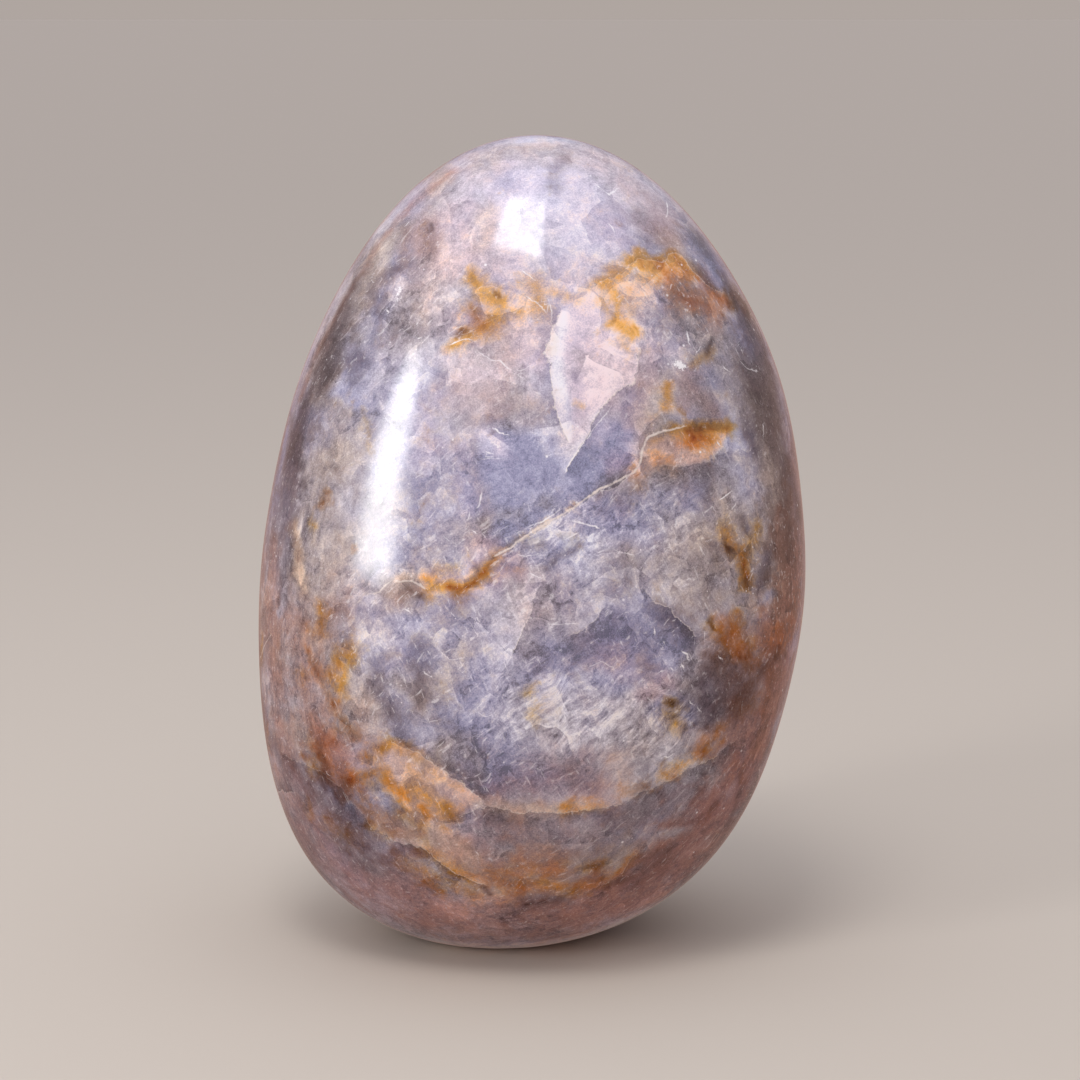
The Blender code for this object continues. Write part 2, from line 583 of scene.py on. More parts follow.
class Painter:
    """Paints marks, plates and lines into the stone's fields.

    Attributes:
        STEP: the longest stretch of a path between points that are set on the stone, by chart.
        EMPTY: what a ragged field holds where nothing is painted.
        STARTS: the middle and swing of the noise that each soft field starts from.
        SWAY: how far small, middle and large noise move a mark's edge, as a share of its half width.
        SOFT_REACH: half widths beyond which a soft mark ends.
        FADE: how fast a soft mark fades; FRAY: how far noise changes its width.
        LEAST_FALL: how fast at least a ragged mark falls off.
        REACH: millimetres from a line within which its distance is kept.
        LINE_END: millimetres over which a line's ends fade.
        WAVE: millimetres by which small and middle noise move a line.
        LIMITS: the smallest and largest value that a field may hold.
    """

    STEP = {Chart.FRONT: 22.0, Chart.ROUND: 5.0}
    EMPTY = -1.0
    STARTS = {
        Field.MILK: (0.50, 0.42),
        Field.BLUE: (0.45, 0.50),
        Field.SMOKE: (0.12, 0.40),
        Field.ROSE: (0.15, 0.30),
        Field.TAN: (0.25, 0.40),
        Field.GRIT: (0.50, 0.40),
    }
    SWAY = (0.30, 0.50, 0.60)
    SOFT_REACH = 2.3
    FADE = 0.7
    FRAY = 0.35
    LEAST_FALL = 0.5
    PLATE_SWAY = (0.35, 0.60)
    MM_PER_PIXEL = 0.117
    REACH = 3.0
    LINE_END = 0.5
    WAVE = (0.16, 0.12)
    LIMITS = (-1.0, 1.5)

    def __init__(self, surface: Surface) -> None:
        """Start each field from broad noise, or from nothing.

        Args:
            surface: the stone's points and charts.
        """
        self.surface = surface
        points = surface.points
        self.small = SolidNoise(21, 3).layered(points, 1.5, 2)
        self.middle = SolidNoise(22, 3).layered(points, 4.5, 3)
        self.large = SolidNoise(23, 3).layered(points, 11.0, 3)
        self.fray = SolidNoise(24).layered(points, 1.2, 3)[:, 0]
        noise = SolidNoise(11, 6).layered(points, 11.0, 4)
        self.fields = {f: np.full(len(points), self.EMPTY if f in RAGGED else 0.0) for f in Field}
        for k, (name, (middle, swing)) in enumerate(self.STARTS.items()):
            self.fields[name] = middle + swing * noise[:, k]
        self.distance = {s: np.full(len(points), self.REACH) for s in Seam}
        self.strength = {s: np.zeros(len(points)) for s in Seam}

    def swayed(self, near: np.ndarray, width: float) -> np.ndarray:
        """Move points by noise that grows with a mark's half width, so that its shape wanders.

        Small noise grows up to a half width of 1.2 mm, middle noise up to 3, and large noise from 1.5 on.
        """
        small, middle, large = self.SWAY
        return (
            self.surface.points[near]
            + self.small[near] * small * min(width, 1.2)
            + self.middle[near] * middle * min(width, 3.0)
            + self.large[near] * large * max(width - 1.5, 0.0)
        )

    def fit(
        self, chart: Chart, corners: tuple[Point, ...], values: np.ndarray, points: np.ndarray
    ) -> PathFit:
        """Find, for every point, the nearest place on a path.

        Args:
            chart: how the corners are given.
            corners: the path.
            values: a number for each corner.
            points: the points that ask, in millimetres.

        Returns:
            How the points lie to the path.
        """
        path, numbers = densify(np.array(corners, float), values, self.STEP[chart])
        if len(path) == 1:
            path, numbers = np.repeat(path, 2, axis=0), np.repeat(numbers, 2)
        lifted = self.surface.lift(chart, path)
        middle = np.array([0.0, 0.0, lifted[:, 2].mean()])
        best = np.full(len(points), np.inf)
        number = np.zeros(len(points))
        side = np.zeros(len(points))
        past = np.zeros(len(points))
        last = len(lifted) - 2
        for k in range(last + 1):
            start, step = lifted[k], lifted[k + 1] - lifted[k]
            length = max(float(np.linalg.norm(step)), 1e-6)
            raw = (points - start) @ step / length**2
            share = np.clip(raw, 0.0, 1.0)
            apart = points - start - share[:, None] * step
            gap = np.linalg.norm(apart, axis=1)
            nearer = gap < best
            across = np.cross(step / length, start - middle)
            across /= max(float(np.linalg.norm(across)), 1e-9)
            over = np.zeros(len(points))
            if k == 0:
                over = np.maximum(over, -raw * length)
            if k == last:
                over = np.maximum(over, (raw - 1.0) * length)
            best = np.where(nearer, gap, best)
            number = np.where(nearer, numbers[k] + share * (numbers[k + 1] - numbers[k]), number)
            side = np.where(nearer, apart @ across, side)
            past = np.where(nearer, over, past)
        return PathFit(best, number, side, past)

    def near(self, chart: Chart, corners: tuple[Point, ...], reach: float) -> np.ndarray:
        """Numbers of the vertices inside the path's box, grown by a reach in millimetres."""
        path, _ = densify(np.array(corners, float), np.zeros(len(corners)), self.STEP[chart])
        lifted = self.surface.lift(chart, path)
        low = lifted.min(axis=0) - reach
        high = lifted.max(axis=0) + reach
        inside = np.all((self.surface.points > low) & (self.surface.points < high), axis=1)
        return np.flatnonzero(inside)

    def mark(self, mark: Mark) -> None:
        """Paint one mark.

        A soft field moves towards the level by e^(-FADE q^2), where q is the distance over the half
        width. A ragged field keeps the larger of what it has and the level less q times the fall,
        which is the level or at least LEAST_FALL.
        """
        near = self.near(mark.chart, mark.points, (self.SOFT_REACH + 0.8) * mark.width + 1.0)
        places = self.swayed(near, mark.width)
        found = self.fit(mark.chart, mark.points, np.zeros(len(mark.points)), places)
        q = found.apart / mark.width * (1.0 + self.FRAY * self.fray[near])
        now = self.fields[mark.field]
        if mark.field in RAGGED:
            now[near] = np.maximum(now[near], mark.level - q * max(mark.level, self.LEAST_FALL))
            return
        share = np.where(q < self.SOFT_REACH, np.exp(-self.FADE * q**2), 0.0)
        now[near] += (mark.level - now[near]) * share

    def plate(self, plate: Plate) -> None:
        """Fill one outline: strength rises from nothing outside to the level inside, over its soft edge.

        Its edge wanders by 0.15 mm and more the softer it is, up to 1.2 mm.
        """
        amount = min(0.15 + 0.35 * plate.soft, 1.2)
        small, middle = self.PLATE_SWAY
        points = self.surface.points + self.small * small * amount + self.middle * middle * amount
        pixels = self.surface.camera.pixels(points)
        corners = np.array(plate.outline, float)
        apart = np.full(len(pixels), np.inf)
        inside = np.zeros(len(pixels), bool)
        for start, end in zip(corners, np.roll(corners, -1, axis=0)):
            step = end - start
            share = np.clip((pixels - start) @ step / (step @ step), 0.0, 1.0)
            apart = np.minimum(apart, np.hypot(*(pixels - start - share[:, None] * step).T))
            crosses = (start[1] > pixels[:, 1]) != (end[1] > pixels[:, 1])
            rise = step[1] if step[1] != 0.0 else 1.0
            inside ^= crosses & (pixels[:, 0] < start[0] + (pixels[:, 1] - start[1]) * step[0] / rise)
        signed = np.where(inside, apart, -apart) * self.MM_PER_PIXEL / plate.soft
        height = np.where(self.surface.seen, np.clip(signed, -1.0, 1.0), -1.0)
        now = self.fields[plate.field]
        if plate.field in RAGGED:
            now[:] = np.maximum(now, np.minimum(height, plate.level))
            return
        share = 0.5 + 0.5 * height
        share = share * share * (3.0 - 2.0 * share)
        now[:] += (plate.level - now) * share

    def line(self, line: Line) -> None:
        """Lay one thin line into its group: the signed distance to it, and its strength."""
        near = self.near(line.chart, line.points, self.REACH)
        count = len(line.points)
        strengths = np.interp(np.arange(count), [0.0, max(count - 1, 1)], line.strength)
        small, middle = self.WAVE
        wavy = self.surface.points[near] + small * self.small[near] + middle * self.middle[near]
        found = self.fit(line.chart, line.points, strengths, wavy)
        strength = found.number * np.clip(1.0 - found.past / self.LINE_END, 0.0, 1.0)
        closer = found.apart < np.abs(self.distance[line.seam][near])
        chosen = near[closer]
        self.distance[line.seam][chosen] = (np.sign(found.side) * found.apart)[closer]
        self.strength[line.seam][chosen] = strength[closer]

    def feature(self, feature: Feature) -> None:
        """Paint all marks of one feature, in their order."""
        paint = {Mark: self.mark, Plate: self.plate, Line: self.line}
        for mark in feature.marks:
            paint[type(mark)](mark)
        LOG.info("%s: %d marks", feature.name, len(feature.marks))

    def attributes(self) -> dict[str, np.ndarray]:
        """Every field by its attribute's name."""
        found = {f.value: np.clip(v, *self.LIMITS) for f, v in self.fields.items()}
        for group in Seam:
            found[f"{group.value}_gap"] = self.distance[group]
            found[f"{group.value}_strength"] = self.strength[group]
        return found


class Graph:
    """The nodes of one material or world, with one method that adds any of them."""

    NOISE_SWING = 2.2
    STREAK_DETAIL = 4.0
    STREAK_ROUGHNESS = 0.65

    def __init__(self, tree: bpy.types.NodeTree) -> None:
        """Take over a node tree and empty it."""
        self.tree = tree
        tree.nodes.clear()

    def feed(self, socket: bpy.types.NodeSocket, value: object) -> None:
        """Link a value's socket, or set a plain number, colour or vector."""
        if isinstance(value, Value):
            self.tree.links.new(value.socket, socket)
        else:
            socket.default_value = value

    def add(
        self, kind: str, settings: dict[str, object], sockets: dict[str | int, object]
    ) -> bpy.types.Node:
        """Add a node.

        Args:
            kind: the node's type.
            settings: its properties, set first; "stops" gives a colour ramp's places and colours.
            sockets: values or links of its inputs, by name or number.

        Returns:
            The node.
        """
        node = self.tree.nodes.new(kind)
        for name, value in settings.items():
            if name == "stops":
                self.set_stops(node.color_ramp, value)
            else:
                setattr(node, name, value)
        for name, value in sockets.items():
            self.feed(node.inputs[name], value)
        return node

    @staticmethod
    def set_stops(ramp: bpy.types.ColorRamp, stops: tuple[tuple[float, tuple[float, ...]], ...]) -> None:
        """Give a colour ramp these places and colours."""
        while len(ramp.elements) < len(stops):
            ramp.elements.new(0.5)
        for element, (place, colour) in zip(ramp.elements, stops):
            element.position = place
            element.color = (*colour[:3], 1.0)

    def attribute(self, name: str) -> "Value":
        """A float attribute of the mesh."""
        node = self.add("ShaderNodeAttribute", {"attribute_name": name}, {})
        return Value(self, node.outputs["Fac"])

    def vector(self, operation: str, *values: object) -> "Value":
        """A Vector Math node on these vectors."""
        node = self.add("ShaderNodeVectorMath", {"operation": operation}, dict(enumerate(values)))
        return Value(self, node.outputs["Value" if operation in ("LENGTH", "DOT_PRODUCT") else "Vector"])

    def scaled(self, vector: "Value", factor: float) -> "Value":
        """A vector times a number."""
        node = self.add("ShaderNodeVectorMath", {"operation": "SCALE"}, {0: vector, "Scale": factor})
        return Value(self, node.outputs["Vector"])

    def noise_node(self, place: "Value", size: float, detail: float, rough: float) -> bpy.types.Node:
        """A Noise Texture node with forms of this size, in millimetres."""
        sockets = {"Vector": place, "Scale": 1.0 / size, "Detail": detail, "Roughness": rough}
        return self.add("ShaderNodeTexNoise", {"noise_dimensions": "3D"}, sockets)

    def centred(self, place: "Value", size: float, detail: float, rough: float) -> "Value":
        """Noise from about -0.5 to 0.5 with forms of this size, in millimetres."""
        node = self.noise_node(place, size, detail, rough)
        return (Value(self, node.outputs["Fac"]) - 0.5) * self.NOISE_SWING

    def streaks(self, place: "Value", size: float, tilt: float, stretch: float) -> "Value":
        """Noise drawn out along a line in the front plane, tilted in degrees from the vertical to +X."""
        node = self.add(
            "ShaderNodeMapping",
            {"vector_type": "TEXTURE"},
            {"Vector": place, "Rotation": (0.0, math.radians(tilt), 0.0), "Scale": (1.0, 1.0, stretch)},
        )
        drawn = Value(self, node.outputs["Vector"])
        return self.centred(drawn, size, self.STREAK_DETAIL, self.STREAK_ROUGHNESS)

    def ramp(self, value: "Value", stops: tuple[tuple[float, tuple[float, ...]], ...]) -> "Value":
        """Turn a value into a colour."""
        node = self.add("ShaderNodeValToRGB", {"stops": stops}, {"Fac": value})
        return Value(self, node.outputs["Color"])

    def blend(self, factor: object, low: object, high: object, mode: str = "MIX") -> "Value":
        """Mix two colours."""
        settings = {"data_type": "RGBA", "blend_type": mode, "clamp_factor": True}
        node = self.add("ShaderNodeMix", settings, {0: factor, 6: low, 7: high})
        return Value(self, node.outputs[2])


class Value:
    """A socket that Python's arithmetic works on; each sign adds a Math node."""

    def __init__(self, graph: Graph, socket: bpy.types.NodeSocket) -> None:
        """Wrap an output socket of a graph."""
        self.graph = graph
        self.socket = socket

    def math(self, operation: str, *others: object) -> "Value":
        """A Math node on this value and others."""
        node = self.graph.add("ShaderNodeMath", {"operation": operation}, dict(enumerate((self, *others))))
        return Value(self.graph, node.outputs[0])

    def from_left(self, operation: str, other: float) -> "Value":
        """A Math node with a number first and this value second."""
        node = self.graph.add("ShaderNodeMath", {"operation": operation}, {0: other, 1: self})
        return Value(self.graph, node.outputs[0])

    def __add__(self, other: object) -> "Value":
        """Sum."""
        return self.math("ADD", other)

    __radd__ = __add__

    def __sub__(self, other: object) -> "Value":
        """Difference."""
        return self.math("SUBTRACT", other)

    def __rsub__(self, other: float) -> "Value":
        """Difference from a number."""
        return self.from_left("SUBTRACT", other)

    def __mul__(self, other: object) -> "Value":
        """Product."""
        return self.math("MULTIPLY", other)

    __rmul__ = __mul__

    def __truediv__(self, other: object) -> "Value":
        """Quotient."""
        return self.math("DIVIDE", other)

    def __rtruediv__(self, other: float) -> "Value":
        """Quotient of a number and this."""
        return self.from_left("DIVIDE", other)

    def __pow__(self, other: float) -> "Value":
        """Power."""
        return self.math("POWER", other)

    def __abs__(self) -> "Value":
        """Size without sign."""
        return self.math("ABSOLUTE")

    def at_least(self, other: object) -> "Value":
        """The larger of two values."""
        return self.math("MAXIMUM", other)

    def clamped(self) -> "Value":
        """Held between 0 and 1."""
        return self.math("MINIMUM", 1.0).at_least(0.0)

    def step(self, low: float, high: float) -> "Value":
        """Eased from 0 at low to 1 at high."""
        sockets = {"Value": self, "From Min": low, "From Max": high, "To Min": 0.0, "To Max": 1.0}
        node = self.graph.add("ShaderNodeMapRange", {"interpolation_type": "SMOOTHSTEP"}, sockets)
        return Value(self.graph, node.outputs["Result"])


Colour = tuple[float, float, float, float]


class Clouds:
    """The noise that the stone's looks are made of, at the sizes that it shows, in millimetres."""

    def __init__(self, g: Graph) -> None:
        """Lay out the noise of one material, most of it on coordinates that are bent a little."""
        place = Value(g, g.add("ShaderNodeTexCoord", {}, {}).outputs["Object"])
        self.mm = g.scaled(place, 1.0 / MM)
        warp = g.noise_node(self.mm, 4.0, 1.5, 0.5)
        shift = g.vector("SUBTRACT", Value(g, warp.outputs["Color"]), (0.5, 0.5, 0.5))
        self.bent = g.vector("ADD", self.mm, g.scaled(shift, 2.4))
        self.broad = g.centred(self.bent, 7.0, 3.0, 0.5)
        self.cloud = g.centred(self.bent, 3.2, 5.0, 0.6)
        self.blot = g.centred(g.vector("ADD", self.bent, (31.0, 17.0, 5.0)), 1.6, 5.0, 0.7)
        self.fine = g.centred(self.mm, 0.62, 4.0, 0.7)
        self.grain = g.centred(self.mm, 0.17, 2.0, 0.7)
        self.fall = g.streaks(self.bent, 1.3, -8.0, 5.0)
        self.slant = g.streaks(self.bent, 1.3, 55.0, 4.0)
        self.fibre = g.streaks(self.bent, 0.42, 48.0, 6.0)
        self.hair = g.streaks(self.mm, 0.42, -25.0, 6.0)
        self.plates = self.facets(g, self.bent, 5.5)
        self.chips = self.facets(g, self.bent, 1.9)

    @staticmethod
    def facets(g: Graph, place: Value, size: float) -> Value:
        """Tone that runs evenly across each cell of a Voronoi pattern and jumps at its edge.

        In a cell it is the distance from the cell's centre along the cell's own random direction,
        from about -0.5 to 0.5, as light falls on the planes of healed cracks.
        """
        cells = g.add("ShaderNodeTexVoronoi", {}, {"Vector": place, "Scale": 1.0 / size, "Randomness": 1.0})
        away = g.vector("SUBTRACT", place, Value(g, cells.outputs["Position"]))
        tilt = g.vector("SUBTRACT", Value(g, cells.outputs["Color"]), (0.5, 0.5, 0.5))
        return g.vector("DOT_PRODUCT", away, tilt) * (2.0 / size)


@dataclass(frozen=True)
class QuartzFinish:
    """Polished, cloudy blue rose quartz with iron stains, as linear colours.

    Attributes:
        tone_blue: colours from clear, dark quartz to white milk, where the quartz is bluish.
        tone_mauve: the same where it is mauve.
        inner_light: share of the light that spreads under the surface, by light_spread for each
            colour, over light_depth in metres.
        crack_width: half width of a healed crack's line in millimetres; the other lines' are like it.
    """

    tone_blue: tuple[tuple[float, tuple[float, float, float]], ...] = (
        (0.00, (0.160, 0.162, 0.245)),
        (0.25, (0.300, 0.298, 0.455)),
        (0.50, (0.455, 0.447, 0.612)),
        (0.75, (0.665, 0.662, 0.808)),
        (1.00, (0.900, 0.890, 0.960)),
    )
    tone_mauve: tuple[tuple[float, tuple[float, float, float]], ...] = (
        (0.00, (0.155, 0.130, 0.155)),
        (0.25, (0.312, 0.280, 0.328)),
        (0.50, (0.468, 0.430, 0.488)),
        (0.75, (0.675, 0.635, 0.708)),
        (1.00, (0.900, 0.870, 0.915)),
    )
    rose_tint: Colour = (1.080, 0.900, 0.880, 1.0)
    tan_tint: Colour = (1.000, 0.880, 0.690, 1.0)
    # The brown and smoke tints also darken the rims and the foot, where they are painted shade and painted
    # reflection.
    brown_shade_and_reflection_tint: Colour = (0.780, 0.550, 0.470, 1.0)
    smoke_and_shade_tint: Colour = (0.330, 0.290, 0.330, 1.0)
    dark_tint: Colour = (0.360, 0.290, 0.290, 1.0)
    cream_tint: Colour = (1.060, 0.970, 0.860, 1.0)
    ochre_edge: Colour = (1.000, 0.900, 0.680, 1.0)
    ochre_core: Colour = (0.960, 0.760, 0.300, 1.0)
    ochre_deep: Colour = (0.680, 0.540, 0.380, 1.0)
    rust_edge: Colour = (0.920, 0.770, 0.610, 1.0)
    rust_core: Colour = (0.720, 0.480, 0.300, 1.0)
    crack_line_and_edge_highlight: Colour = (0.860, 0.760, 0.700, 1.0)
    flake_and_glint: Colour = (0.950, 0.920, 0.940, 1.0)
    polish: float = 0.05
    ior: float = 1.54
    inner_light: float = 0.12
    light_spread: tuple[float, float, float] = (1.0, 0.8, 0.9)
    light_depth: float = 0.8 * MM
    crack_width: float = 0.15
    edge_width: float = 0.09
    wisp_width: float = 0.10

    def material(self) -> bpy.types.Material:
        """Make the material: milk over clear quartz, tints, stains, lines and flakes in turn. Some tints hold
        painted shade and reflection, the plate edges painted light and shade, and the flakes painted glints.
        """
        material = bpy.data.materials.new("blue_rose_quartz")
        material.use_nodes = True
        g = Graph(material.node_tree)
        clouds = Clouds(g)
        colour = self.quartz(g, clouds)
        colour = self.tints(g, clouds, colour)
        colour = self.stains(g, clouds, colour)
        colour = self.lines(g, clouds, colour, Seam.CRACK, self.crack_width)
        colour = self.lines(g, clouds, colour, Seam.EDGE, self.edge_width)
        colour = self.lines(g, clouds, colour, Seam.WISP, self.wisp_width)
        colour = self.flecks(g, clouds, colour)
        shader = g.add(
            "ShaderNodeBsdfPrincipled",
            {"subsurface_method": "RANDOM_WALK"},
            {
                "Base Color": colour,
                "Roughness": self.polish,
                "IOR": self.ior,
                "Subsurface Weight": self.inner_light,
                "Subsurface Radius": self.light_spread,
                "Subsurface Scale": self.light_depth,
            },
        )
        out = g.add("ShaderNodeOutputMaterial", {}, {})
        g.tree.links.new(shader.outputs["BSDF"], out.inputs["Surface"])
        return material

    def quartz(self, g: Graph, clouds: Clouds) -> Value:
        """Clear quartz and milk: one tone, coloured by how bluish the quartz is. Beside each plate edge the
        tone is raised on one side and lowered on the other, as painted light and painted shade.
        """
        # Painted light and shade beside plate edges: lighter on the lit side, darker on the other.
        edge_gap = self.gap(g, clouds, Seam.EDGE)
        edge_near = (1.0 - abs(edge_gap) / 2.8).at_least(0.0) * g.attribute("edge_strength")
        edge_light_and_shade = edge_near * (edge_gap.step(-0.05, 0.05) * 2.0 - 1.0)
        milk = g.attribute("milk")
        grit = g.attribute("grit") * 0.85 + 0.15
        lively = (milk * 0.8 + 0.25).at_least(0.15)
        banks = clouds.cloud.step(-0.30, 0.30) - 0.5
        calm = clouds.broad * 0.14 + clouds.cloud * 0.14 + banks * 0.08 + clouds.plates * 0.24
        calm_part = calm * lively
        blots = clouds.blot.step(-0.26, 0.26) - 0.5
        grit_part = (clouds.blot * 0.20 + blots * 0.15 + clouds.fine * 0.30 + clouds.chips * 0.28) * grit
        even_part = clouds.blot * 0.06 + clouds.fine * 0.14 + clouds.grain * 0.36
        slant = g.attribute("slant")
        streaks = clouds.fall * g.attribute("fall") * 0.60 + clouds.slant * slant * 0.60
        streaks = streaks + clouds.fibre * (slant * 0.45 + grit * 0.20 + 0.05)
        streaks = streaks + clouds.hair * (grit * 0.16 + 0.04)
        tone = milk * 0.72 + 0.10 + calm_part + grit_part + even_part + streaks + edge_light_and_shade * 0.33
        cream = self.cream(g, clouds)
        tone = tone + cream * 0.22
        hue = g.attribute("blue") - self.stained(g) * 0.5
        hue = hue + clouds.broad * 0.3 + clouds.cloud * 0.3 + clouds.blot * 0.2
        colour = g.blend(hue.step(0.1, 0.9), g.ramp(tone, self.tone_mauve), g.ramp(tone, self.tone_blue))
        return g.blend(cream, colour, self.cream_tint, "MULTIPLY")

    def gap(self, g: Graph, clouds: Clouds, group: Seam) -> Value:
        """Signed distance to the nearest line of a group, in millimetres, made ragged by noise."""
        gap = g.attribute(f"{group.value}_gap") + clouds.fine * 0.12
        return gap + clouds.blot * 0.55 + clouds.cloud * 0.55 if group is Seam.EDGE else gap

    def stained(self, g: Graph) -> Value:
        """How far into an ochre stain a point lies: 0 outside, about 2 in its heart."""
        return (g.attribute("ochre") + 0.4).at_least(0.0) * 1.4

    def cream(self, g: Graph, clouds: Clouds) -> Value:
        """Where cream-coloured veils lie."""
        veils = g.attribute("cream") + clouds.cloud * 0.3 + clouds.blot * 0.7 + clouds.fine * 0.5
        return veils.step(-0.5, 0.6)

    def tints(self, g: Graph, clouds: Clouds, colour: Value) -> Value:
        """Soft tints: rose, tan, brown and smoke. Brown and smoke are partly painted shade and painted
        reflection, at the rims and the foot.
        """
        rose = (g.attribute("rose") + self.stained(g) * 0.35 + clouds.cloud * 0.35).step(0.0, 1.0)
        colour = g.blend(rose, colour, self.rose_tint, "MULTIPLY")
        tan = g.attribute("tan") + clouds.cloud * 0.35 + clouds.blot * 0.35 + clouds.fall * 0.2
        colour = g.blend(tan.step(0.0, 1.0), colour, self.tan_tint, "MULTIPLY")
        # Brown and smoke here carry painted shade and painted reflection at the rims and the foot, as well as
        # the stone's own colour.
        brown = g.attribute("brown") + clouds.cloud * 0.35 + clouds.blot * 0.25 + clouds.fine * 0.15
        colour = g.blend(brown.step(0.0, 1.1), colour, self.brown_shade_and_reflection_tint, "MULTIPLY")
        smoke = g.attribute("smoke") + clouds.cloud * 0.30 + clouds.blot * 0.55 + clouds.fine * 0.40
        return g.blend(smoke.step(0.05, 1.2), colour, self.smoke_and_shade_tint, "MULTIPLY")

    def stains(self, g: Graph, clouds: Clouds, colour: Value) -> Value:
        """Ragged stains: dark pits, ochre and rust."""
        ragged = clouds.cloud * 0.40 + clouds.blot * 0.90 + clouds.fine * 0.50 + clouds.grain * 0.25
        dark = (g.attribute("dark") + ragged * 0.6).step(-0.25, 0.55)
        colour = g.blend(dark, colour, self.dark_tint, "MULTIPLY")
        ochre = g.attribute("ochre") + ragged
        colour = g.blend(ochre.step(-0.70, 0.20), colour, self.ochre_edge, "MULTIPLY")
        colour = g.blend(ochre.step(-0.10, 0.75), colour, self.ochre_core, "MULTIPLY")
        colour = g.blend(ochre.step(0.60, 1.40), colour, self.ochre_deep, "MULTIPLY")
        rust = g.attribute("rust") + ragged
        colour = g.blend(rust.step(-0.70, 0.20), colour, self.rust_edge, "MULTIPLY")
        return g.blend(rust.step(0.00, 0.90), colour, self.rust_core, "MULTIPLY")

    def lines(self, g: Graph, clouds: Clouds, colour: Value, group: Seam, width: float) -> Value:
        """Draw one group of thin lines: light within the half width, broken up by noise. Along plate edges
        the line is a painted highlight; the shortest wisps are painted glints.
        """
        gap = abs(self.gap(g, clouds, group))
        strength = g.attribute(f"{group.value}_strength") + clouds.blot * 0.7 + clouds.fine * 0.6
        body = 1.0 - (gap / (strength * width + 0.02).at_least(0.01)).step(0.3, 1.4)
        light = self.flake_and_glint if group is Seam.WISP else self.crack_line_and_edge_highlight
        share = 0.55 if group is Seam.EDGE else 0.9
        return g.blend(body * strength.clamped() * share, colour, light)

    def flecks(self, g: Graph, clouds: Clouds, colour: Value) -> Value:
        """Bright specks, partly white flakes of the quartz and partly painted glints: those placed one by one
        in the glint field, and tiny ones strewn where the stone is gritty.
        """
        glint = (g.attribute("glint") + clouds.fine * 0.9 + clouds.grain * 0.8).step(0.05, 0.5)
        grit = g.attribute("grit")
        gritty_glints = self.specks(g, clouds.mm, 0.75, 0.17) * (grit * 0.9 + 0.05)
        flakes = self.specks(g, clouds.mm, 1.7, 0.12) * 0.9
        needles = clouds.fibre.step(0.24, 0.40).at_least(clouds.hair.step(0.26, 0.42)) * (grit * 0.45 + 0.05)
        return g.blend(glint.at_least(gritty_glints.at_least(flakes.at_least(needles))), colour, self.flake_and_glint)

    def specks(self, g: Graph, mm: Value, size: float, radius: float) -> Value:
        """Tiny bright specks, partly flakes and partly painted glints: the hearts of a few cells of a Voronoi
        pattern.
        """
        cells = g.add("ShaderNodeTexVoronoi", {}, {"Vector": mm, "Scale": 1.0 / size, "Randomness": 1.0})
        chance = g.vector("DOT_PRODUCT", Value(g, cells.outputs["Color"]), (1.0, 0.0, 0.0))
        near = 1.0 - Value(g, cells.outputs["Distance"]).step(radius * 0.4, radius)
        return near * chance.step(0.78, 1.0)


@dataclass(frozen=True)
class Softbox:
    """An area light that shows in the polish as a window with soft edges, narrower at its top.

    Attributes:
        name: the light's name.
        azimuth: where it stands, seen from the stone; 0 is in front and 90 on the right.
        elevation: how high it stands, in degrees.
        size: width and height in metres.
        strength: how bright its face is.
        top_share: width of the top as a share of the bottom's.
        lean: how far the top is shifted sideways, as a share of the width.
        fade: how far its left, right, bottom and top edges fade, as shares of its size.
        edge_tint: the colour of its fading sides.
    """

    name: str
    azimuth: float
    elevation: float
    size: tuple[float, float]
    strength: float
    top_share: float
    lean: float
    fade: tuple[float, float, float, float]
    edge_tint: Colour = (0.86, 0.92, 1.0, 1.0)
    distance: float = 0.6
    aim: tuple[float, float, float] = (0.0, 0.0, 0.05)

    def make(self) -> bpy.types.Object:
        """Set the light up, facing its aim."""
        data = bpy.data.lights.new(self.name, "AREA")
        data.shape = "RECTANGLE"
        data.size, data.size_y = self.size
        data.energy = math.pi * self.size[0] * self.size[1] * self.strength
        data.use_nodes = True
        self.pattern(Graph(data.node_tree))
        light = bpy.data.objects.new(self.name, data)
        bpy.context.scene.collection.objects.link(light)
        away = Vector(direction(self.azimuth, self.elevation))
        light.location = Vector(self.aim) + self.distance * away
        light.rotation_euler = (-away).to_track_quat("-Z", "Y").to_euler()
        light.visible_camera = False
        return light

    def pattern(self, g: Graph) -> None:
        """Fade the face towards its edges, as a window's shape."""
        spot = g.add("ShaderNodeNewGeometry", {}, {})
        parts = g.add("ShaderNodeSeparateXYZ", {}, {"Vector": Value(g, spot.outputs["Parametric"])})
        u = Value(g, parts.outputs["X"])
        v = Value(g, parts.outputs["Y"])
        left, right, bottom, top = self.fade
        width = 1.0 - v * (1.0 - self.top_share)
        across = (u - 0.5 - v * self.lean) / width + 0.5
        sides = across.step(0.0, left) * (1.0 - across.step(1.0 - right, 1.0))
        shape = sides * v.step(0.0, bottom) * (1.0 - v.step(1.0 - top, 1.0))
        colour = g.blend(sides, self.edge_tint, (1.0, 1.0, 1.0, 1.0))
        glow = g.add("ShaderNodeEmission", {}, {"Color": colour, "Strength": shape})
        out = g.add("ShaderNodeOutputLight", {}, {})
        g.tree.links.new(glow.outputs["Emission"], out.inputs["Surface"])


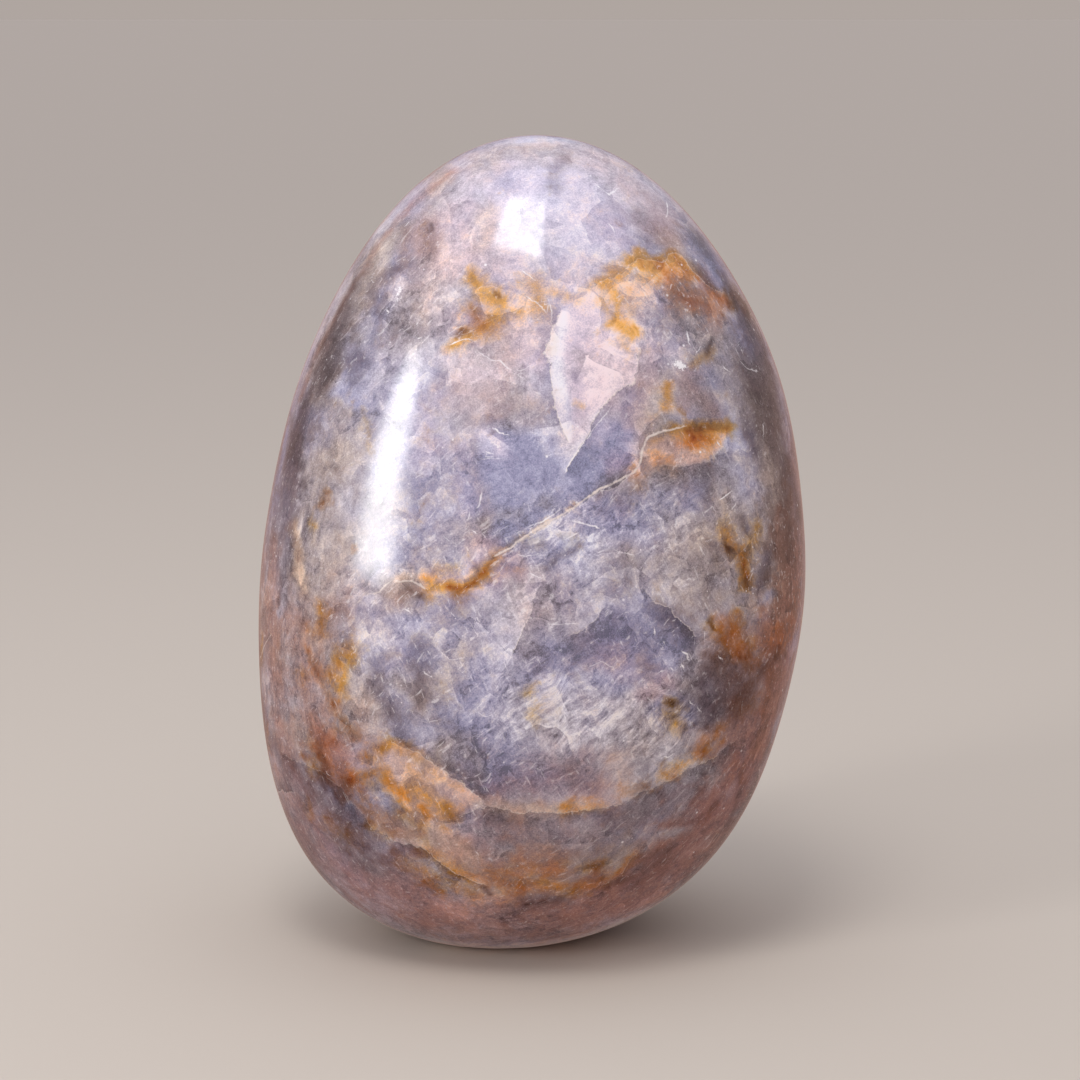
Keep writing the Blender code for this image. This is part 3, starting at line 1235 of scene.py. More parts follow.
@dataclass(frozen=True)
class Studio:
    """A plain pale floor, two softboxes and the room's own soft light."""

    floor_half: float = 40.0
    floor_roughness: float = 0.9
    floor_colour: Colour = (0.56, 0.495, 0.425, 1.0)
    boxes: tuple[Softbox, ...] = (
        Softbox("left_softbox", -49.5, 22.0, (0.315, 0.290), 13.5, 0.14, -0.17, (0.40, 0.42, 0.20, 0.16)),
        Softbox("top_softbox", -18.5, 68.0, (0.270, 0.290), 9.0, 0.62, 0.0, (0.22, 0.16, 0.12, 0.50)),
    )
    room_stops: tuple[tuple[float, tuple[float, float, float]], ...] = (
        (0.00, (0.150, 0.110, 0.100)),
        (0.28, (0.240, 0.165, 0.145)),
        (0.42, (0.440, 0.285, 0.240)),
        (0.54, (0.440, 0.285, 0.240)),
        (0.62, (0.400, 0.315, 0.300)),
        (0.75, (0.580, 0.550, 0.580)),
        (1.00, (1.050, 1.110, 1.230)),
    )
    seen_colour: Colour = (0.430, 0.379, 0.353, 1.0)

    def floor(self) -> bpy.types.Object:
        """Lay the floor, which the polish doesn't mirror."""
        mesh = bpy.data.meshes.new("floor")
        half = self.floor_half
        corners = [(-half, -half, 0.0), (half, -half, 0.0), (half, half, 0.0), (-half, half, 0.0)]
        mesh.from_pydata(corners, [], [(0, 1, 2, 3)])
        floor = bpy.data.objects.new("floor", mesh)
        bpy.context.scene.collection.objects.link(floor)
        material = bpy.data.materials.new("pale_floor")
        material.use_nodes = True
        shader = material.node_tree.nodes["Principled BSDF"]
        shader.inputs["Base Color"].default_value = self.floor_colour
        shader.inputs["Roughness"].default_value = self.floor_roughness
        mesh.materials.append(material)
        floor.visible_glossy = False
        return floor

    def room(self) -> None:
        """Light the room: pale above, warm round the horizon and darker below."""
        world = bpy.data.worlds.new("room")
        bpy.context.scene.world = world
        world.use_nodes = True
        g = Graph(world.node_tree)
        look = Value(g, g.add("ShaderNodeTexCoord", {}, {}).outputs["Generated"])
        parts = g.add("ShaderNodeSeparateXYZ", {}, {"Vector": look})
        height = Value(g, parts.outputs["Z"]) * 0.5 + 0.5
        path = g.add("ShaderNodeLightPath", {}, {})
        seen = Value(g, path.outputs["Is Camera Ray"])
        colour = g.blend(seen, g.ramp(height, self.room_stops), self.seen_colour)
        sky = g.add("ShaderNodeBackground", {}, {"Color": colour, "Strength": 1.0})
        out = g.add("ShaderNodeOutputWorld", {}, {})
        g.tree.links.new(sky.outputs["Background"], out.inputs["Surface"])

    def make(self) -> None:
        """Set up the floor, the lights and the room."""
        self.floor()
        for box in self.boxes:
            box.make()
        self.room()
        bpy.context.scene.view_settings.view_transform = "Standard"


@dataclass
class Stone:
    """The stone: its mesh, its marks and its finish."""

    form: StoneForm = field(default_factory=StoneForm)
    net: SphereNet = field(default_factory=SphereNet)
    finish: QuartzFinish = field(default_factory=QuartzFinish)

    def fitted(self, points: np.ndarray) -> np.ndarray:
        """Scale the form by hairs so that its box is the CAD solid's box."""
        low, high = (np.array(corner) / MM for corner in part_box("stone"))
        own_low, own_high = points.min(axis=0), points.max(axis=0)
        return low + (points - own_low) * (high - low) / (own_high - own_low)

    def build(self, camera: StudioCamera) -> bpy.types.Object:
        """Make the mesh, paint its fields and dress it.

        Args:
            camera: the camera whose pixels the front marks use.

        Returns:
            The stone's object, at the origin.
        """
        directions, triangles = self.net.build()
        points = self.fitted(self.form.points(directions))
        painter = Painter(Surface(points, triangles, camera))
        for feature in FEATURES:
            painter.feature(feature)
        mesh = bpy.data.meshes.new("quartz")
        mesh.from_pydata((points * MM).tolist(), [], triangles.tolist())
        for name, values in painter.attributes().items():
            attribute = mesh.attributes.new(name, "FLOAT", "POINT")
            attribute.data.foreach_set("value", values.astype(np.float32))
        mesh.shade_smooth()
        mesh.validate()
        stone = bpy.data.objects.new("quartz", mesh)
        bpy.context.scene.collection.objects.link(stone)
        mesh.materials.append(self.finish.material())
        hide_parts("stone")
        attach(stone, "root")
        return stone


CROWN = feature(
    "pale crown",
    washes(Field.MILK,
        (0.86, 8, 480, 190, 540, 180, 600, 200, 630, 235), (0.85, 6, 450, 225, 475, 265, 540, 262, 605, 262),
        (0.6, 1.8, 492, 158, 505, 170, 500, 185), (0.7, 2, 612, 172, 625, 178),
        (0.66, 1.6, 514, 160, 530, 163), (0.95, 1.4, 596, 282, 560, 284)),
    washes(Field.BLUE,
        (0.55, 1.6, 495, 158, 535, 156), (0.15, 3, 570, 150, 605, 165), (0.7, 4, 560, 205, 590, 240)),
    washes(Field.ROSE,
        (0.6, 2.5, 470, 165, 480, 155), (0.7, 3, 570, 150, 605, 165, 625, 185),
        (0.7, 4, 450, 215, 478, 245, 500, 272, 560, 285), (0.65, 1.8, 412, 186, 420, 196),
        (0.45, 7, 500, 175, 600, 210)),
    washes(Field.GRIT, (0.25, 9, 470, 200, 540, 190, 610, 220)),
    washes(Field.SMOKE, (0.05, 8, 480, 200, 540, 200, 600, 220), (0.75, 0.8, 563, 157, 555, 172, 553, 188)),
    washes(Field.TAN, (0.1, 7, 480, 190, 560, 190, 620, 230), (0.6, 1.2, 484, 212, 482, 242)),
)

# Along the upper left edge, its brown and the smoke and tan nearest the edge are painted reflection and
# painted shade of the rim; the rest is the stone's own grey quartz.
LEFT_SHOULDER = feature(
    "grey left shoulder",
    washes(Field.MILK,
        (0.38, 4.5, 415, 215, 395, 260, 370, 310, 350, 350), (0.38, 3.5, 430, 300, 410, 330, 390, 345),
        (0.7, 1.2, 372, 252, 386, 262), (1.1, 0.5, 401, 282, 398, 302), (0.45, 1.5, 432, 232, 432, 252),
        (0.28, 1.8, 356, 258, 366, 272), (0.1, 1.5, 338, 335, 334, 352, 330, 372),
        (0.2, 2, 316, 352, 304, 383, 298, 412)),
    washes(Field.GRIT, (0.9, 5, 430, 290, 430, 330, 390, 330)),
    washes(Field.BLUE,
        (0.8, 2.5, 400, 235, 380, 300, 372, 330), (0.1, 2.5, 410, 330, 440, 300),
        (0.2, 2.5, 400, 230, 372, 268, 345, 310)),
    washes(Field.SMOKE,
        (0.55, 1.6, 403, 222, 406, 252), (0.85, 0.9, 388, 274, 400, 266, 414, 264),
        (0.8, 1.1, 374, 292, 383, 300, 376, 312), (0.75, 0.6, 396, 311, 411, 309),
        (0.55, 1.4, 400, 332, 412, 330), (1.35, 1.7, 342, 316, 336, 335, 329, 355),
        (1, 1.4, 332, 352, 325, 375)),
    patches(Field.SMOKE, (0.8, 0.5, 344, 356, 358, 350, 373, 366, 362, 384, 350, 392, 346, 372)),
    washes(Field.SMOKE,
        (0.95, 1.7, 318, 372, 310, 395, 304, 425), (0, 0.7, 401, 282, 398, 302),
        (0.6, 1.5, 349, 335, 347, 352), (0.35, 1.3, 432, 236, 434, 250), (0.35, 2, 372, 262, 358, 285),
        (0.45, 0.9, 408, 276, 412, 284), (0.55, 1.5, 340, 345, 336, 360), (1, 1.3, 332, 366, 336, 346),
        (0.95, 0.8, 358, 352, 364, 362)),
    washes(Field.BROWN, (0.7, 0.9, 300, 400, 318, 350, 345, 300, 375, 250, 410, 205, 450, 172)),
    washes(Field.OCHRE, (-0.3, 0.9, 420, 228, 426, 240, 424, 250)),
    washes(Field.TAN,
        (0.55, 1.4, 430, 170, 436, 200, 426, 262), (0.8, 2.2, 395, 235, 370, 265, 352, 300),
        (0.95, 1.4, 432, 172, 440, 182), (0.5, 1.5, 310, 366, 330, 372),
        (0.75, 2, 318, 352, 304, 383, 298, 412)),
    washes(Field.DARK, (0.6, 0.4, 430, 224, 431, 231)),
    washes(Field.GLINT, (0.35, 0.6, 399, 290, 400, 300)),
    seams(Seam.WISP,
        (1, 0.72, 388, 310, 389, 311), (1, 0.72, 372, 282, 373, 283), (1, 0.72, 419, 338, 421, 338),
        (0.9, 0.64, 406, 224, 409, 222)),
)

# Along the left edge, its brown, smoke and tan are painted reflection and painted shade of the rim; further
# in are the stone's own streaks and stains.
LEFT_COLUMN = feature(
    "streaked left side",
    washes(Field.MILK,
        (0.5, 4, 345, 400, 335, 460, 330, 530, 340, 590), (0.33, 4.5, 290, 590, 290, 680, 315, 730),
        (0.62, 3, 375, 610, 365, 660, 372, 720), (0.85, 1, 352, 508, 350, 530),
        (0.8, 0.8, 368, 455, 362, 470), (1, 1.1, 366, 640, 372, 662), (0.78, 1.1, 316, 520, 322, 538),
        (0.8, 0.8, 338, 664, 342, 680), (0.98, 1, 350, 586, 360, 592), (0.1, 1.4, 303, 440, 301, 456),
        (0.25, 2, 292, 576, 296, 592), (0.3, 1.5, 307, 602, 313, 614), (0.15, 2.8, 254, 660, 258, 700),
        (1.15, 1.2, 366, 636, 374, 648), (0.95, 1, 354, 476, 360, 488)),
    washes(Field.BLUE, (0, 5, 325, 480, 310, 600, 315, 700)),
    washes(Field.TAN,
        (0.65, 4.5, 340, 470, 325, 560, 325, 640, 350, 710), (1, 0.9, 294, 528, 297, 556, 306, 586),
        (0.8, 2, 362, 705, 362, 730), (0.75, 1.8, 336, 405, 352, 556), (0.7, 1.6, 296, 415, 284, 480),
        (0.9, 1.2, 306, 636, 316, 640), (0.6, 1.5, 362, 616, 372, 630)),
    washes(Field.ROSE, (0.5, 4, 300, 620, 310, 700)),
    washes(Field.FALL, (0.9, 6, 335, 410, 310, 520, 295, 640, 310, 720)),
    washes(Field.GRIT, (0.35, 6, 335, 410, 310, 520, 300, 640, 310, 720)),
    washes(Field.BROWN,
        (0.85, 2.5, 272, 560, 270, 650, 282, 740), (0.6, 4, 300, 650, 310, 710, 325, 745),
        (0.6, 1.8, 335, 610, 338, 640), (0.9, 2.5, 272, 600, 270, 640), (0.5, 2, 362, 705, 360, 730),
        (0.9, 2.6, 262, 420, 254, 520, 256, 640, 264, 720)),
    washes(Field.SMOKE,
        (1.4, 1.9, 300, 420, 296, 450, 292, 475), (1.1, 1.9, 291, 480, 286, 515, 284, 548),
        (0.6, 1.6, 282, 560, 286, 590), (0.55, 2.2, 282, 430, 274, 500, 268, 560),
        (0.45, 1.2, 268, 600, 267, 640), (0.6, 0.7, 306, 536, 309, 530),
        (0.55, 0.5, 302, 606, 308, 614, 313, 622), (0.7, 1.7, 318, 405, 316, 435),
        (0.45, 1.5, 338, 395, 342, 405), (0.55, 1.3, 336, 612, 334, 628), (0.3, 2.5, 273, 600, 272, 640),
        (0.7, 2.2, 262, 420, 254, 500, 252, 580), (0.6, 2.4, 256, 640, 262, 720)),
    washes(Field.CREAM, (0.6, 0.7, 294, 528, 297, 556, 306, 586)),
    washes(Field.OCHRE,
        (-0.1, 0.7, 361, 408, 365, 425, 368, 440), (-0.35, 0.9, 346, 472, 352, 477),
        (0.45, 0.6, 310, 522, 314, 526), (0.45, 0.7, 320, 608, 323, 618, 321, 626),
        (0, 0.8, 312, 634, 326, 636), (0.9, 0.8, 338, 658, 344, 668, 341, 688),
        (0.55, 1.1, 342, 658, 352, 655), (0.35, 0.8, 302, 674, 304, 678)),
    washes(Field.RUST,
        (0.8, 0.55, 326, 492, 323, 503, 319, 507), (0.8, 0.35, 354, 547, 355, 552),
        (0.7, 0.5, 308, 652, 318, 674, 330, 698, 341, 720), (0.75, 0.8, 345, 722, 352, 736)),
)

PALE_MIDDLE = feature(
    "lavender left middle",
    washes(Field.MILK,
        (0.62, 4.5, 425, 365, 430, 420, 425, 470, 440, 530), (0.6, 4, 480, 340, 500, 380, 530, 400),
        (0.55, 2.5, 465, 560, 490, 590, 500, 610), (0.92, 1.4, 450, 412, 456, 426),
        (0.95, 1.3, 420, 352, 424, 372), (0.85, 1.2, 412, 415, 414, 440), (0.85, 1.2, 546, 420, 554, 426),
        (1, 1.1, 548, 422, 556, 428), (0.42, 1.5, 464, 484, 470, 496), (0.3, 1.1, 494, 538, 502, 544)),
    washes(Field.BLUE,
        (0.75, 4.5, 430, 380, 420, 470, 440, 560), (0.2, 3.5, 480, 340, 510, 380),
        (0.95, 1.6, 460, 485, 466, 505), (0.9, 1.6, 416, 505, 424, 520), (0.5, 1.2, 480, 548, 504, 544)),
    washes(Field.GRIT, (0.6, 5, 440, 380, 430, 470, 450, 560), (0.55, 4, 500, 370, 540, 410)),
    washes(Field.SMOKE, (0.45, 1, 416, 478, 420, 500, 416, 545), (0.4, 1.2, 440, 395, 446, 410)),
    washes(Field.ROSE,
        (0.6, 2.2, 445, 430, 460, 440), (0.7, 2.5, 470, 380, 490, 400), (0.6, 1.5, 385, 584, 396, 588)),
    washes(Field.TAN,
        (0.5, 2.5, 480, 385, 500, 400, 530, 395), (0.1, 1.5, 460, 485, 466, 505),
        (0.5, 1.5, 385, 584, 396, 588)),
)

UPPER_VEIL = feature(
    "rosy veil under the crown",
    washes(Field.MILK,
        (0.72, 4, 450, 285, 500, 335, 540, 345), (0.82, 2.5, 440, 250, 445, 275),
        (1.05, 1.2, 528, 330, 540, 338), (0.8, 1.5, 440, 300, 450, 306), (0.95, 1.5, 450, 362, 466, 368),
        (0.85, 1.5, 494, 380, 508, 386), (0.52, 1.2, 428, 300, 436, 308), (0.9, 1.5, 470, 398, 478, 404),
        (1, 1.3, 536, 368, 542, 382)),
    washes(Field.ROSE,
        (0.75, 3.5, 455, 275, 480, 310, 530, 340), (0.3, 1.6, 445, 300, 462, 285),
        (0.3, 1.5, 492, 438, 440, 420)),
    washes(Field.TAN,
        (0.4, 2.5, 480, 305, 500, 310, 535, 300), (0.5, 2, 530, 285, 538, 300, 534, 315),
        (0.3, 1.6, 445, 300, 462, 285), (0.2, 1.5, 500, 380, 462, 366), (0, 1.3, 536, 368, 542, 382)),
    washes(Field.GRIT, (0.45, 4, 470, 290, 530, 330)),
    washes(Field.BROWN, (0.7, 1.3, 474, 308, 480, 322)),
    washes(Field.SMOKE, (0.4, 1.1, 474, 308, 479, 322)),
    washes(Field.CREAM,
        (0.1, 0.8, 452, 330, 458, 322, 462, 315), (-0.2, 1, 512, 302, 526, 298),
        (0.2, 0.8, 462, 352, 466, 346)),
    washes(Field.DARK, (0.55, 0.5, 458, 336, 466, 332), (0.45, 0.35, 493, 289, 500, 296)),
    washes(Field.OCHRE,
        (0.95, 1, 474, 276, 482, 286, 492, 294, 501, 300),
        (0.6, 1.1, 501, 301, 497, 312, 488, 322, 472, 333), (0.75, 0.8, 472, 333, 462, 341, 453, 348),
        (0.4, 1.1, 531, 284, 541, 294, 536, 306), (0.95, 0.8, 484, 286, 496, 292),
        (0.2, 0.9, 508, 310, 520, 312), (0.2, 0.9, 470, 304, 478, 312)),
    seams(Seam.WISP,
        (0.9, 0.5, 452, 345, 460, 341, 470, 339), (0.8, 0.4, 524, 271, 535, 280),
        (0.6, 0.4, 528, 298, 538, 304, 546, 311),
        (0.5, 0.6, 478, 352, 490, 360, 500, 361, 508, 369, 520, 371, 530, 366),
        (0.7, 0.4, 516, 374, 524, 379, 519, 385), (0.5, 0.3, 451, 333, 458, 328, 464, 327)),
)

WEDGE = feature(
    "wedge plate",
    patches(Field.MILK,
        (1.08, 0.5, 566, 306, 600, 288, 640, 300, 648, 335, 640, 372, 612, 394, 600, 411, 585, 440,
         568, 458, 560, 430, 556, 400, 552, 360, 556, 330)),
    washes(Field.MILK, (1.3, 0.55, 565, 318, 555, 345, 558, 375, 566, 410, 570, 430)),
    patches(Field.MILK, (0.58, 0.25, 569, 362, 594, 368, 586, 374, 575, 388)),
    washes(Field.MILK, (1.02, 0.7, 628, 350, 612, 374, 602, 386)),
    patches(Field.ROSE,
        (0.75, 0.8, 570, 306, 600, 288, 645, 305, 640, 372, 612, 392, 590, 430, 572, 440, 566, 400,
         560, 350)),
    washes(Field.ROSE,
        (0.3, 0.55, 565, 318, 555, 345, 558, 375, 566, 410, 570, 430), (0.9, 1.2, 632, 378, 610, 398)),
    patches(Field.GRIT, (0.15, 0.8, 560, 310, 645, 300, 640, 375, 600, 412, 566, 450, 556, 400)),
    patches(Field.TAN, (0.05, 0.8, 560, 310, 645, 300, 640, 375, 600, 412, 566, 450, 556, 400)),
    patches(Field.SMOKE, (0, 0.8, 560, 310, 645, 300, 640, 375, 600, 412, 566, 450, 556, 400)),
    washes(Field.BLUE, (0.6, 0.55, 565, 318, 555, 345, 558, 375, 566, 410, 570, 430)),
    washes(Field.SLANT, (0.6, 2.5, 600, 380, 625, 350)),
    washes(Field.OCHRE, (-0.1, 0.6, 575, 404, 582, 408)),
    washes(Field.CREAM, (0.1, 0.7, 560, 432, 562, 442)),
    seams(Seam.EDGE,
        (0.9, 0.6, 566, 440, 560, 425, 554, 400, 550, 375, 547, 352, 552, 330, 562, 312),
        (0.5, 0.9, 640, 345, 638, 370, 631, 385, 612, 395, 600, 411, 585, 440, 566, 470)),
    seams(Seam.WISP,
        (0.5, 0.8, 612, 408, 600, 423, 588, 437, 578, 450, 565, 472),
        (0.5, 0.3, 549, 300, 552, 312, 551, 320)),
)

OCHRE_CREST = feature(
    "ochre crest",
    washes(Field.MILK,
        (0.95, 2.5, 605, 290, 630, 285, 628, 310), (0.42, 3.5, 668, 300, 690, 325, 660, 330),
        (0.65, 0.9, 722, 318, 724, 330, 708, 343), (0.68, 1.5, 650, 245, 640, 250, 660, 250),
        (0.25, 1.3, 694, 264, 712, 288), (0.85, 0.9, 612, 266, 600, 272),
        (1.05, 1, 640, 268, 652, 270, 664, 270), (0.95, 1, 640, 298, 646, 306),
        (0.95, 0.9, 586, 280, 598, 281), (1, 0.9, 552, 298, 560, 303), (0.6, 2, 608, 232, 624, 242)),
    washes(Field.ROSE,
        (0.7, 2.5, 610, 300, 635, 300, 625, 325), (0.7, 1.5, 660, 296, 664, 304),
        (0.6, 2, 608, 232, 624, 242)),
    washes(Field.TAN,
        (0.8, 2, 612, 290, 638, 285, 628, 318), (0.9, 2.5, 680, 285, 705, 305),
        (0.8, 1.4, 720, 320, 705, 345, 700, 355), (0.9, 1.6, 688, 316, 740, 300)),
    washes(Field.BLUE, (0.7, 3, 655, 315, 670, 340)),
    washes(Field.BROWN,
        (0.9, 2.2, 675, 280, 700, 300, 712, 310), (0.9, 1.3, 700, 272, 712, 285),
        (0.8, 1.3, 735, 298, 745, 312), (1.1, 1.3, 706, 284, 718, 298)),
    washes(Field.GRIT, (0.8, 4.5, 665, 300, 695, 320)),
    washes(Field.CREAM, (0.2, 1.4, 628, 290, 638, 284, 642, 300)),
    washes(Field.OCHRE,
        (0, 0.7, 575, 301, 587, 291, 598, 284), (0.95, 0.9, 600, 284, 612, 282),
        (0.6, 0.8, 618, 277, 628, 270), (1.1, 0.9, 632, 263, 644, 260, 660, 264),
        (0.7, 1.2, 645, 268, 656, 271), (1.15, 0.9, 668, 258, 676, 257, 684, 266),
        (0.8, 0.7, 686, 268, 696, 277), (0.6, 0.8, 614, 288, 616, 302, 616, 318),
        (0.75, 0.9, 612, 323, 622, 327, 634, 334), (-0.15, 0.9, 616, 346, 622, 352),
        (-0.2, 1.8, 628, 300, 632, 318), (0.45, 0.9, 712, 290, 724, 297, 732, 303),
        (0.35, 0.5, 712, 350, 702, 357, 692, 366), (0.95, 1.1, 670, 262, 682, 266),
        (0.6, 1.1, 664, 268, 690, 272), (0.95, 1, 642, 266, 660, 268), (1.05, 1.1, 644, 264, 660, 268),
        (0.35, 0.9, 634, 272, 642, 276), (0.25, 0.8, 600, 304, 608, 312)),
    washes(Field.RUST,
        (0.35, 1.6, 676, 290, 690, 302, 705, 304), (0.3, 0.9, 714, 296, 726, 300),
        (0.1, 1, 736, 296, 746, 306)),
    washes(Field.DARK, (0.7, 0.5, 712, 341, 706, 352)),
    seams(Seam.WISP,
        (1, 0.72, 687, 333, 690, 345), (0.9, 0.64, 697, 352, 700, 347), (0.9, 0.64, 725, 367, 728, 370)),
    washes(Field.GLINT, (0.9, 0.55, 678, 365, 684, 369)),
    seams(Seam.EDGE,
        (0.4, 0.5, 575, 301, 590, 289, 603, 281, 616, 277, 628, 266, 640, 258, 655, 259, 664, 263, 670, 255,
         680, 254, 690, 268, 705, 284, 722, 292)),
)

# The smoke, brown, tan and rose along the right edge are painted shade and painted reflection of the rim; the
# blue and milk further in are the stone's own.
RIGHT_RIM_SHADE_AND_REFLECTION = feature(
    "dark right rim",
    washes(Field.SMOKE,
        (0.75, 2.4, 640, 215, 665, 222, 650, 240), (0.6, 1.3, 688, 230, 702, 248, 722, 275, 735, 300),
        (1.05, 2.2, 737, 305, 750, 335, 764, 365), (1.1, 2.8, 752, 380, 766, 400, 776, 430),
        (0.95, 1.5, 750, 425, 754, 450), (0.8, 2.6, 782, 450, 788, 500, 788, 560),
        (0.35, 3.5, 690, 390, 730, 395), (0.15, 2, 786, 590, 780, 630), (0.8, 1.7, 750, 322, 758, 340)),
    washes(Field.ROSE,
        (0.6, 1.8, 665, 228, 670, 236), (0.9, 2, 655, 218, 665, 226), (1, 2.5, 798, 556, 794, 650)),
    washes(Field.MILK,
        (0.15, 1.5, 692, 240, 712, 262, 728, 288), (0.75, 1.5, 742, 462, 748, 480),
        (0.2, 3.5, 745, 350, 765, 400, 770, 460), (0.28, 4, 700, 385, 725, 400, 735, 420),
        (0.52, 1.2, 730, 372, 738, 380), (0.1, 1.7, 750, 322, 758, 340)),
    washes(Field.BLUE,
        (1.1, 1.8, 685, 230, 708, 260, 728, 290, 742, 330), (0.65, 4, 700, 380, 745, 410),
        (0, 3, 784, 520, 786, 620), (0.1, 2, 655, 218, 665, 226), (0.1, 3, 762, 400, 778, 480, 782, 560)),
    washes(Field.TAN,
        (0.7, 3.5, 755, 370, 770, 420, 780, 500), (1, 2.8, 784, 540, 784, 610), (1, 2, 800, 556, 796, 606),
        (0.9, 3, 764, 400, 780, 480, 784, 560)),
    washes(Field.BROWN,
        (0.65, 1.2, 690, 205, 728, 255, 760, 310, 782, 370, 795, 440), (1, 3, 795, 460, 798, 520, 798, 600),
        (1.3, 2.8, 786, 540, 786, 600, 778, 640)),
    seams(Seam.WISP,
        (0.8, 0.56, 612, 193, 619, 188), (1, 0.72, 606, 196, 613, 191), (0.9, 0.64, 599, 185, 602, 189),
        (1, 0.72, 611, 226, 614, 231), (0.9, 0.64, 750, 368, 757, 371), (0.8, 0.56, 763, 425, 764, 437),
        (0.9, 0.7, 666, 203, 668, 210, 666, 216), (0.4, 0.8, 741, 362, 748, 369, 757, 370),
        (0.5, 0.3, 583, 222, 587, 236, 587, 248), (0.3, 0.5, 600, 153, 612, 155, 620, 159)),
)

WINDOW = feature(
    "clear blue window",
    patches(Field.MILK,
        (0.3, 1.6, 482, 432, 505, 424, 530, 438, 556, 468, 572, 466, 592, 438, 622, 428, 634, 450, 600, 490,
         545, 520, 500, 545, 482, 522, 468, 470)),
    washes(Field.MILK,
        (0.9, 1.3, 656, 345, 644, 374, 618, 402, 600, 424), (0.5, 1.4, 640, 400, 636, 440),
        (0.35, 1.6, 540, 450, 560, 470), (0.5, 1.6, 645, 410, 655, 395),
        (0.55, 2.2, 575, 420, 560, 440, 545, 430), (1.1, 0.8, 486, 440, 500, 450),
        (0.98, 0.9, 590, 424, 598, 434), (0.42, 1.3, 536, 468, 546, 478), (0.36, 1.3, 546, 500, 556, 508)),
    patches(Field.GRIT,
        (0.1, 1.6, 482, 432, 530, 436, 570, 470, 600, 430, 630, 440, 560, 505, 500, 540, 478, 500)),
    patches(Field.BLUE,
        (1.25, 2, 482, 440, 540, 436, 570, 466, 600, 430, 630, 432, 630, 455, 570, 505, 500, 515)),
    washes(Field.BLUE, (0.2, 2, 490, 525, 520, 520, 545, 508)),
    patches(Field.SMOKE, (0, 1.6, 482, 432, 530, 438, 570, 464, 620, 425, 636, 455, 545, 520, 500, 540)),
    washes(Field.SMOKE, (0.12, 2.5, 495, 520, 530, 515), (0.35, 1.8, 500, 405, 515, 410)),
    patches(Field.TAN, (0, 1.6, 482, 432, 530, 438, 570, 464, 620, 425, 636, 455, 545, 520, 500, 540)),
    washes(Field.TAN, (0.8, 2, 640, 420, 655, 400, 660, 440)),
    patches(Field.ROSE, (0, 1.6, 482, 432, 530, 438, 570, 464, 620, 425, 636, 455, 545, 520, 500, 540)),
    washes(Field.ROSE,
        (0.7, 2, 658, 350, 645, 378, 628, 430), (0.6, 1.2, 486, 440, 500, 450),
        (0.5, 1.2, 590, 424, 598, 434)),
    washes(Field.CREAM, (0.05, 0.7, 486, 441, 500, 449)),
    washes(Field.GLINT, (0.1, 0.6, 490, 446, 499, 449)),
    seams(Seam.WISP,
        (0.8, 0.56, 488, 453, 494, 454), (0.9, 0.7, 495, 430, 500, 434, 507, 435),
        (0.6, 0.5, 482, 459, 492, 458, 501, 460), (0.9, 0.5, 482, 495, 480, 503, 476, 508),
        (0.8, 0.56, 468, 515, 468, 520), (0.7, 0.48, 473, 533, 475, 534), (0.7, 0.48, 483, 535, 485, 537),
        (0.7, 0.48, 533, 433, 535, 434), (0.6, 0.4, 444, 537, 448, 540)),
    washes(Field.DARK, (0.3, 0.4, 488, 438, 494, 434)),
)

CRACK = feature(
    "healed crack",
    washes(Field.MILK,
        (0.7, 1.2, 400, 570, 440, 572, 480, 556), (0.75, 0.7, 482, 545, 500, 546),
        (1, 1.2, 428, 586, 446, 588, 463, 588, 472, 582, 484, 571, 494, 562), (0.48, 1, 616, 462, 630, 464),
        (0.9, 1, 640, 436, 646, 444)),
    washes(Field.ROSE,
        (0.9, 1, 480, 546, 500, 545), (1, 1.4, 428, 586, 446, 588, 463, 588, 484, 571, 500, 560),
        (1, 1.6, 490, 566, 515, 568), (0.9, 1.2, 616, 462, 630, 466), (0.7, 1, 640, 436, 646, 444)),
    washes(Field.CREAM,
        (0.7, 0.7, 396, 577, 410, 575, 424, 576),
        (0.12, 0.45, 502, 551, 516, 545, 530, 532, 545, 522, 575, 506), (0.2, 0.45, 562, 512, 575, 505),
        (0.3, 0.8, 402, 577, 412, 576)),
    washes(Field.OCHRE,
        (0.7, 0.55, 424, 578, 432, 588, 430, 598),
        (0.9, 0.9, 430, 589, 446, 588, 463, 588, 472, 582, 484, 571, 492, 563),
        (-0.15, 0.5, 502, 551, 530, 533, 545, 523), (0, 0.4, 564, 512, 574, 505),
        (0.05, 0.8, 438, 577, 452, 574), (-0.05, 0.7, 638, 461, 634, 468), (-0.05, 0.7, 662, 437, 650, 444)),
    washes(Field.SMOKE,
        (0, 1.2, 430, 590, 446, 590, 463, 590, 484, 573), (0.95, 1, 406, 590, 418, 592, 422, 600),
        (0.7, 0.45, 366, 593, 373, 588), (0.55, 0.4, 356, 603, 361, 600)),
    washes(Field.RUST,
        (0.65, 0.35, 446, 588, 463, 589, 472, 583, 484, 571, 494, 560), (-0.1, 0.8, 495, 566, 520, 568)),
    washes(Field.DARK, (0.3, 1, 408, 588, 420, 597)),
    seams(Seam.CRACK,
        (0.3, 0.5, 355, 605, 368, 595, 380, 590, 390, 580),
        (0.6, 0.7, 395, 580, 403, 581, 412, 582, 424, 589),
        (0.8, 0.8, 494, 556, 512, 547, 528, 534, 545, 523, 560, 516, 575, 507),
        (0.8, 0.8, 575, 507, 590, 496, 606, 486, 620, 480, 633, 473),
        (0.8, 0.7, 633, 473, 640, 463, 643, 450, 650, 436, 664, 431, 672, 430, 685, 425)),
    seams(Seam.EDGE, (0.4, 0.6, 512, 549, 530, 535, 560, 517, 590, 498, 620, 482, 636, 470)),
    washes(Field.BLUE, (0.95, 0.9, 520, 542, 534, 544)),
)

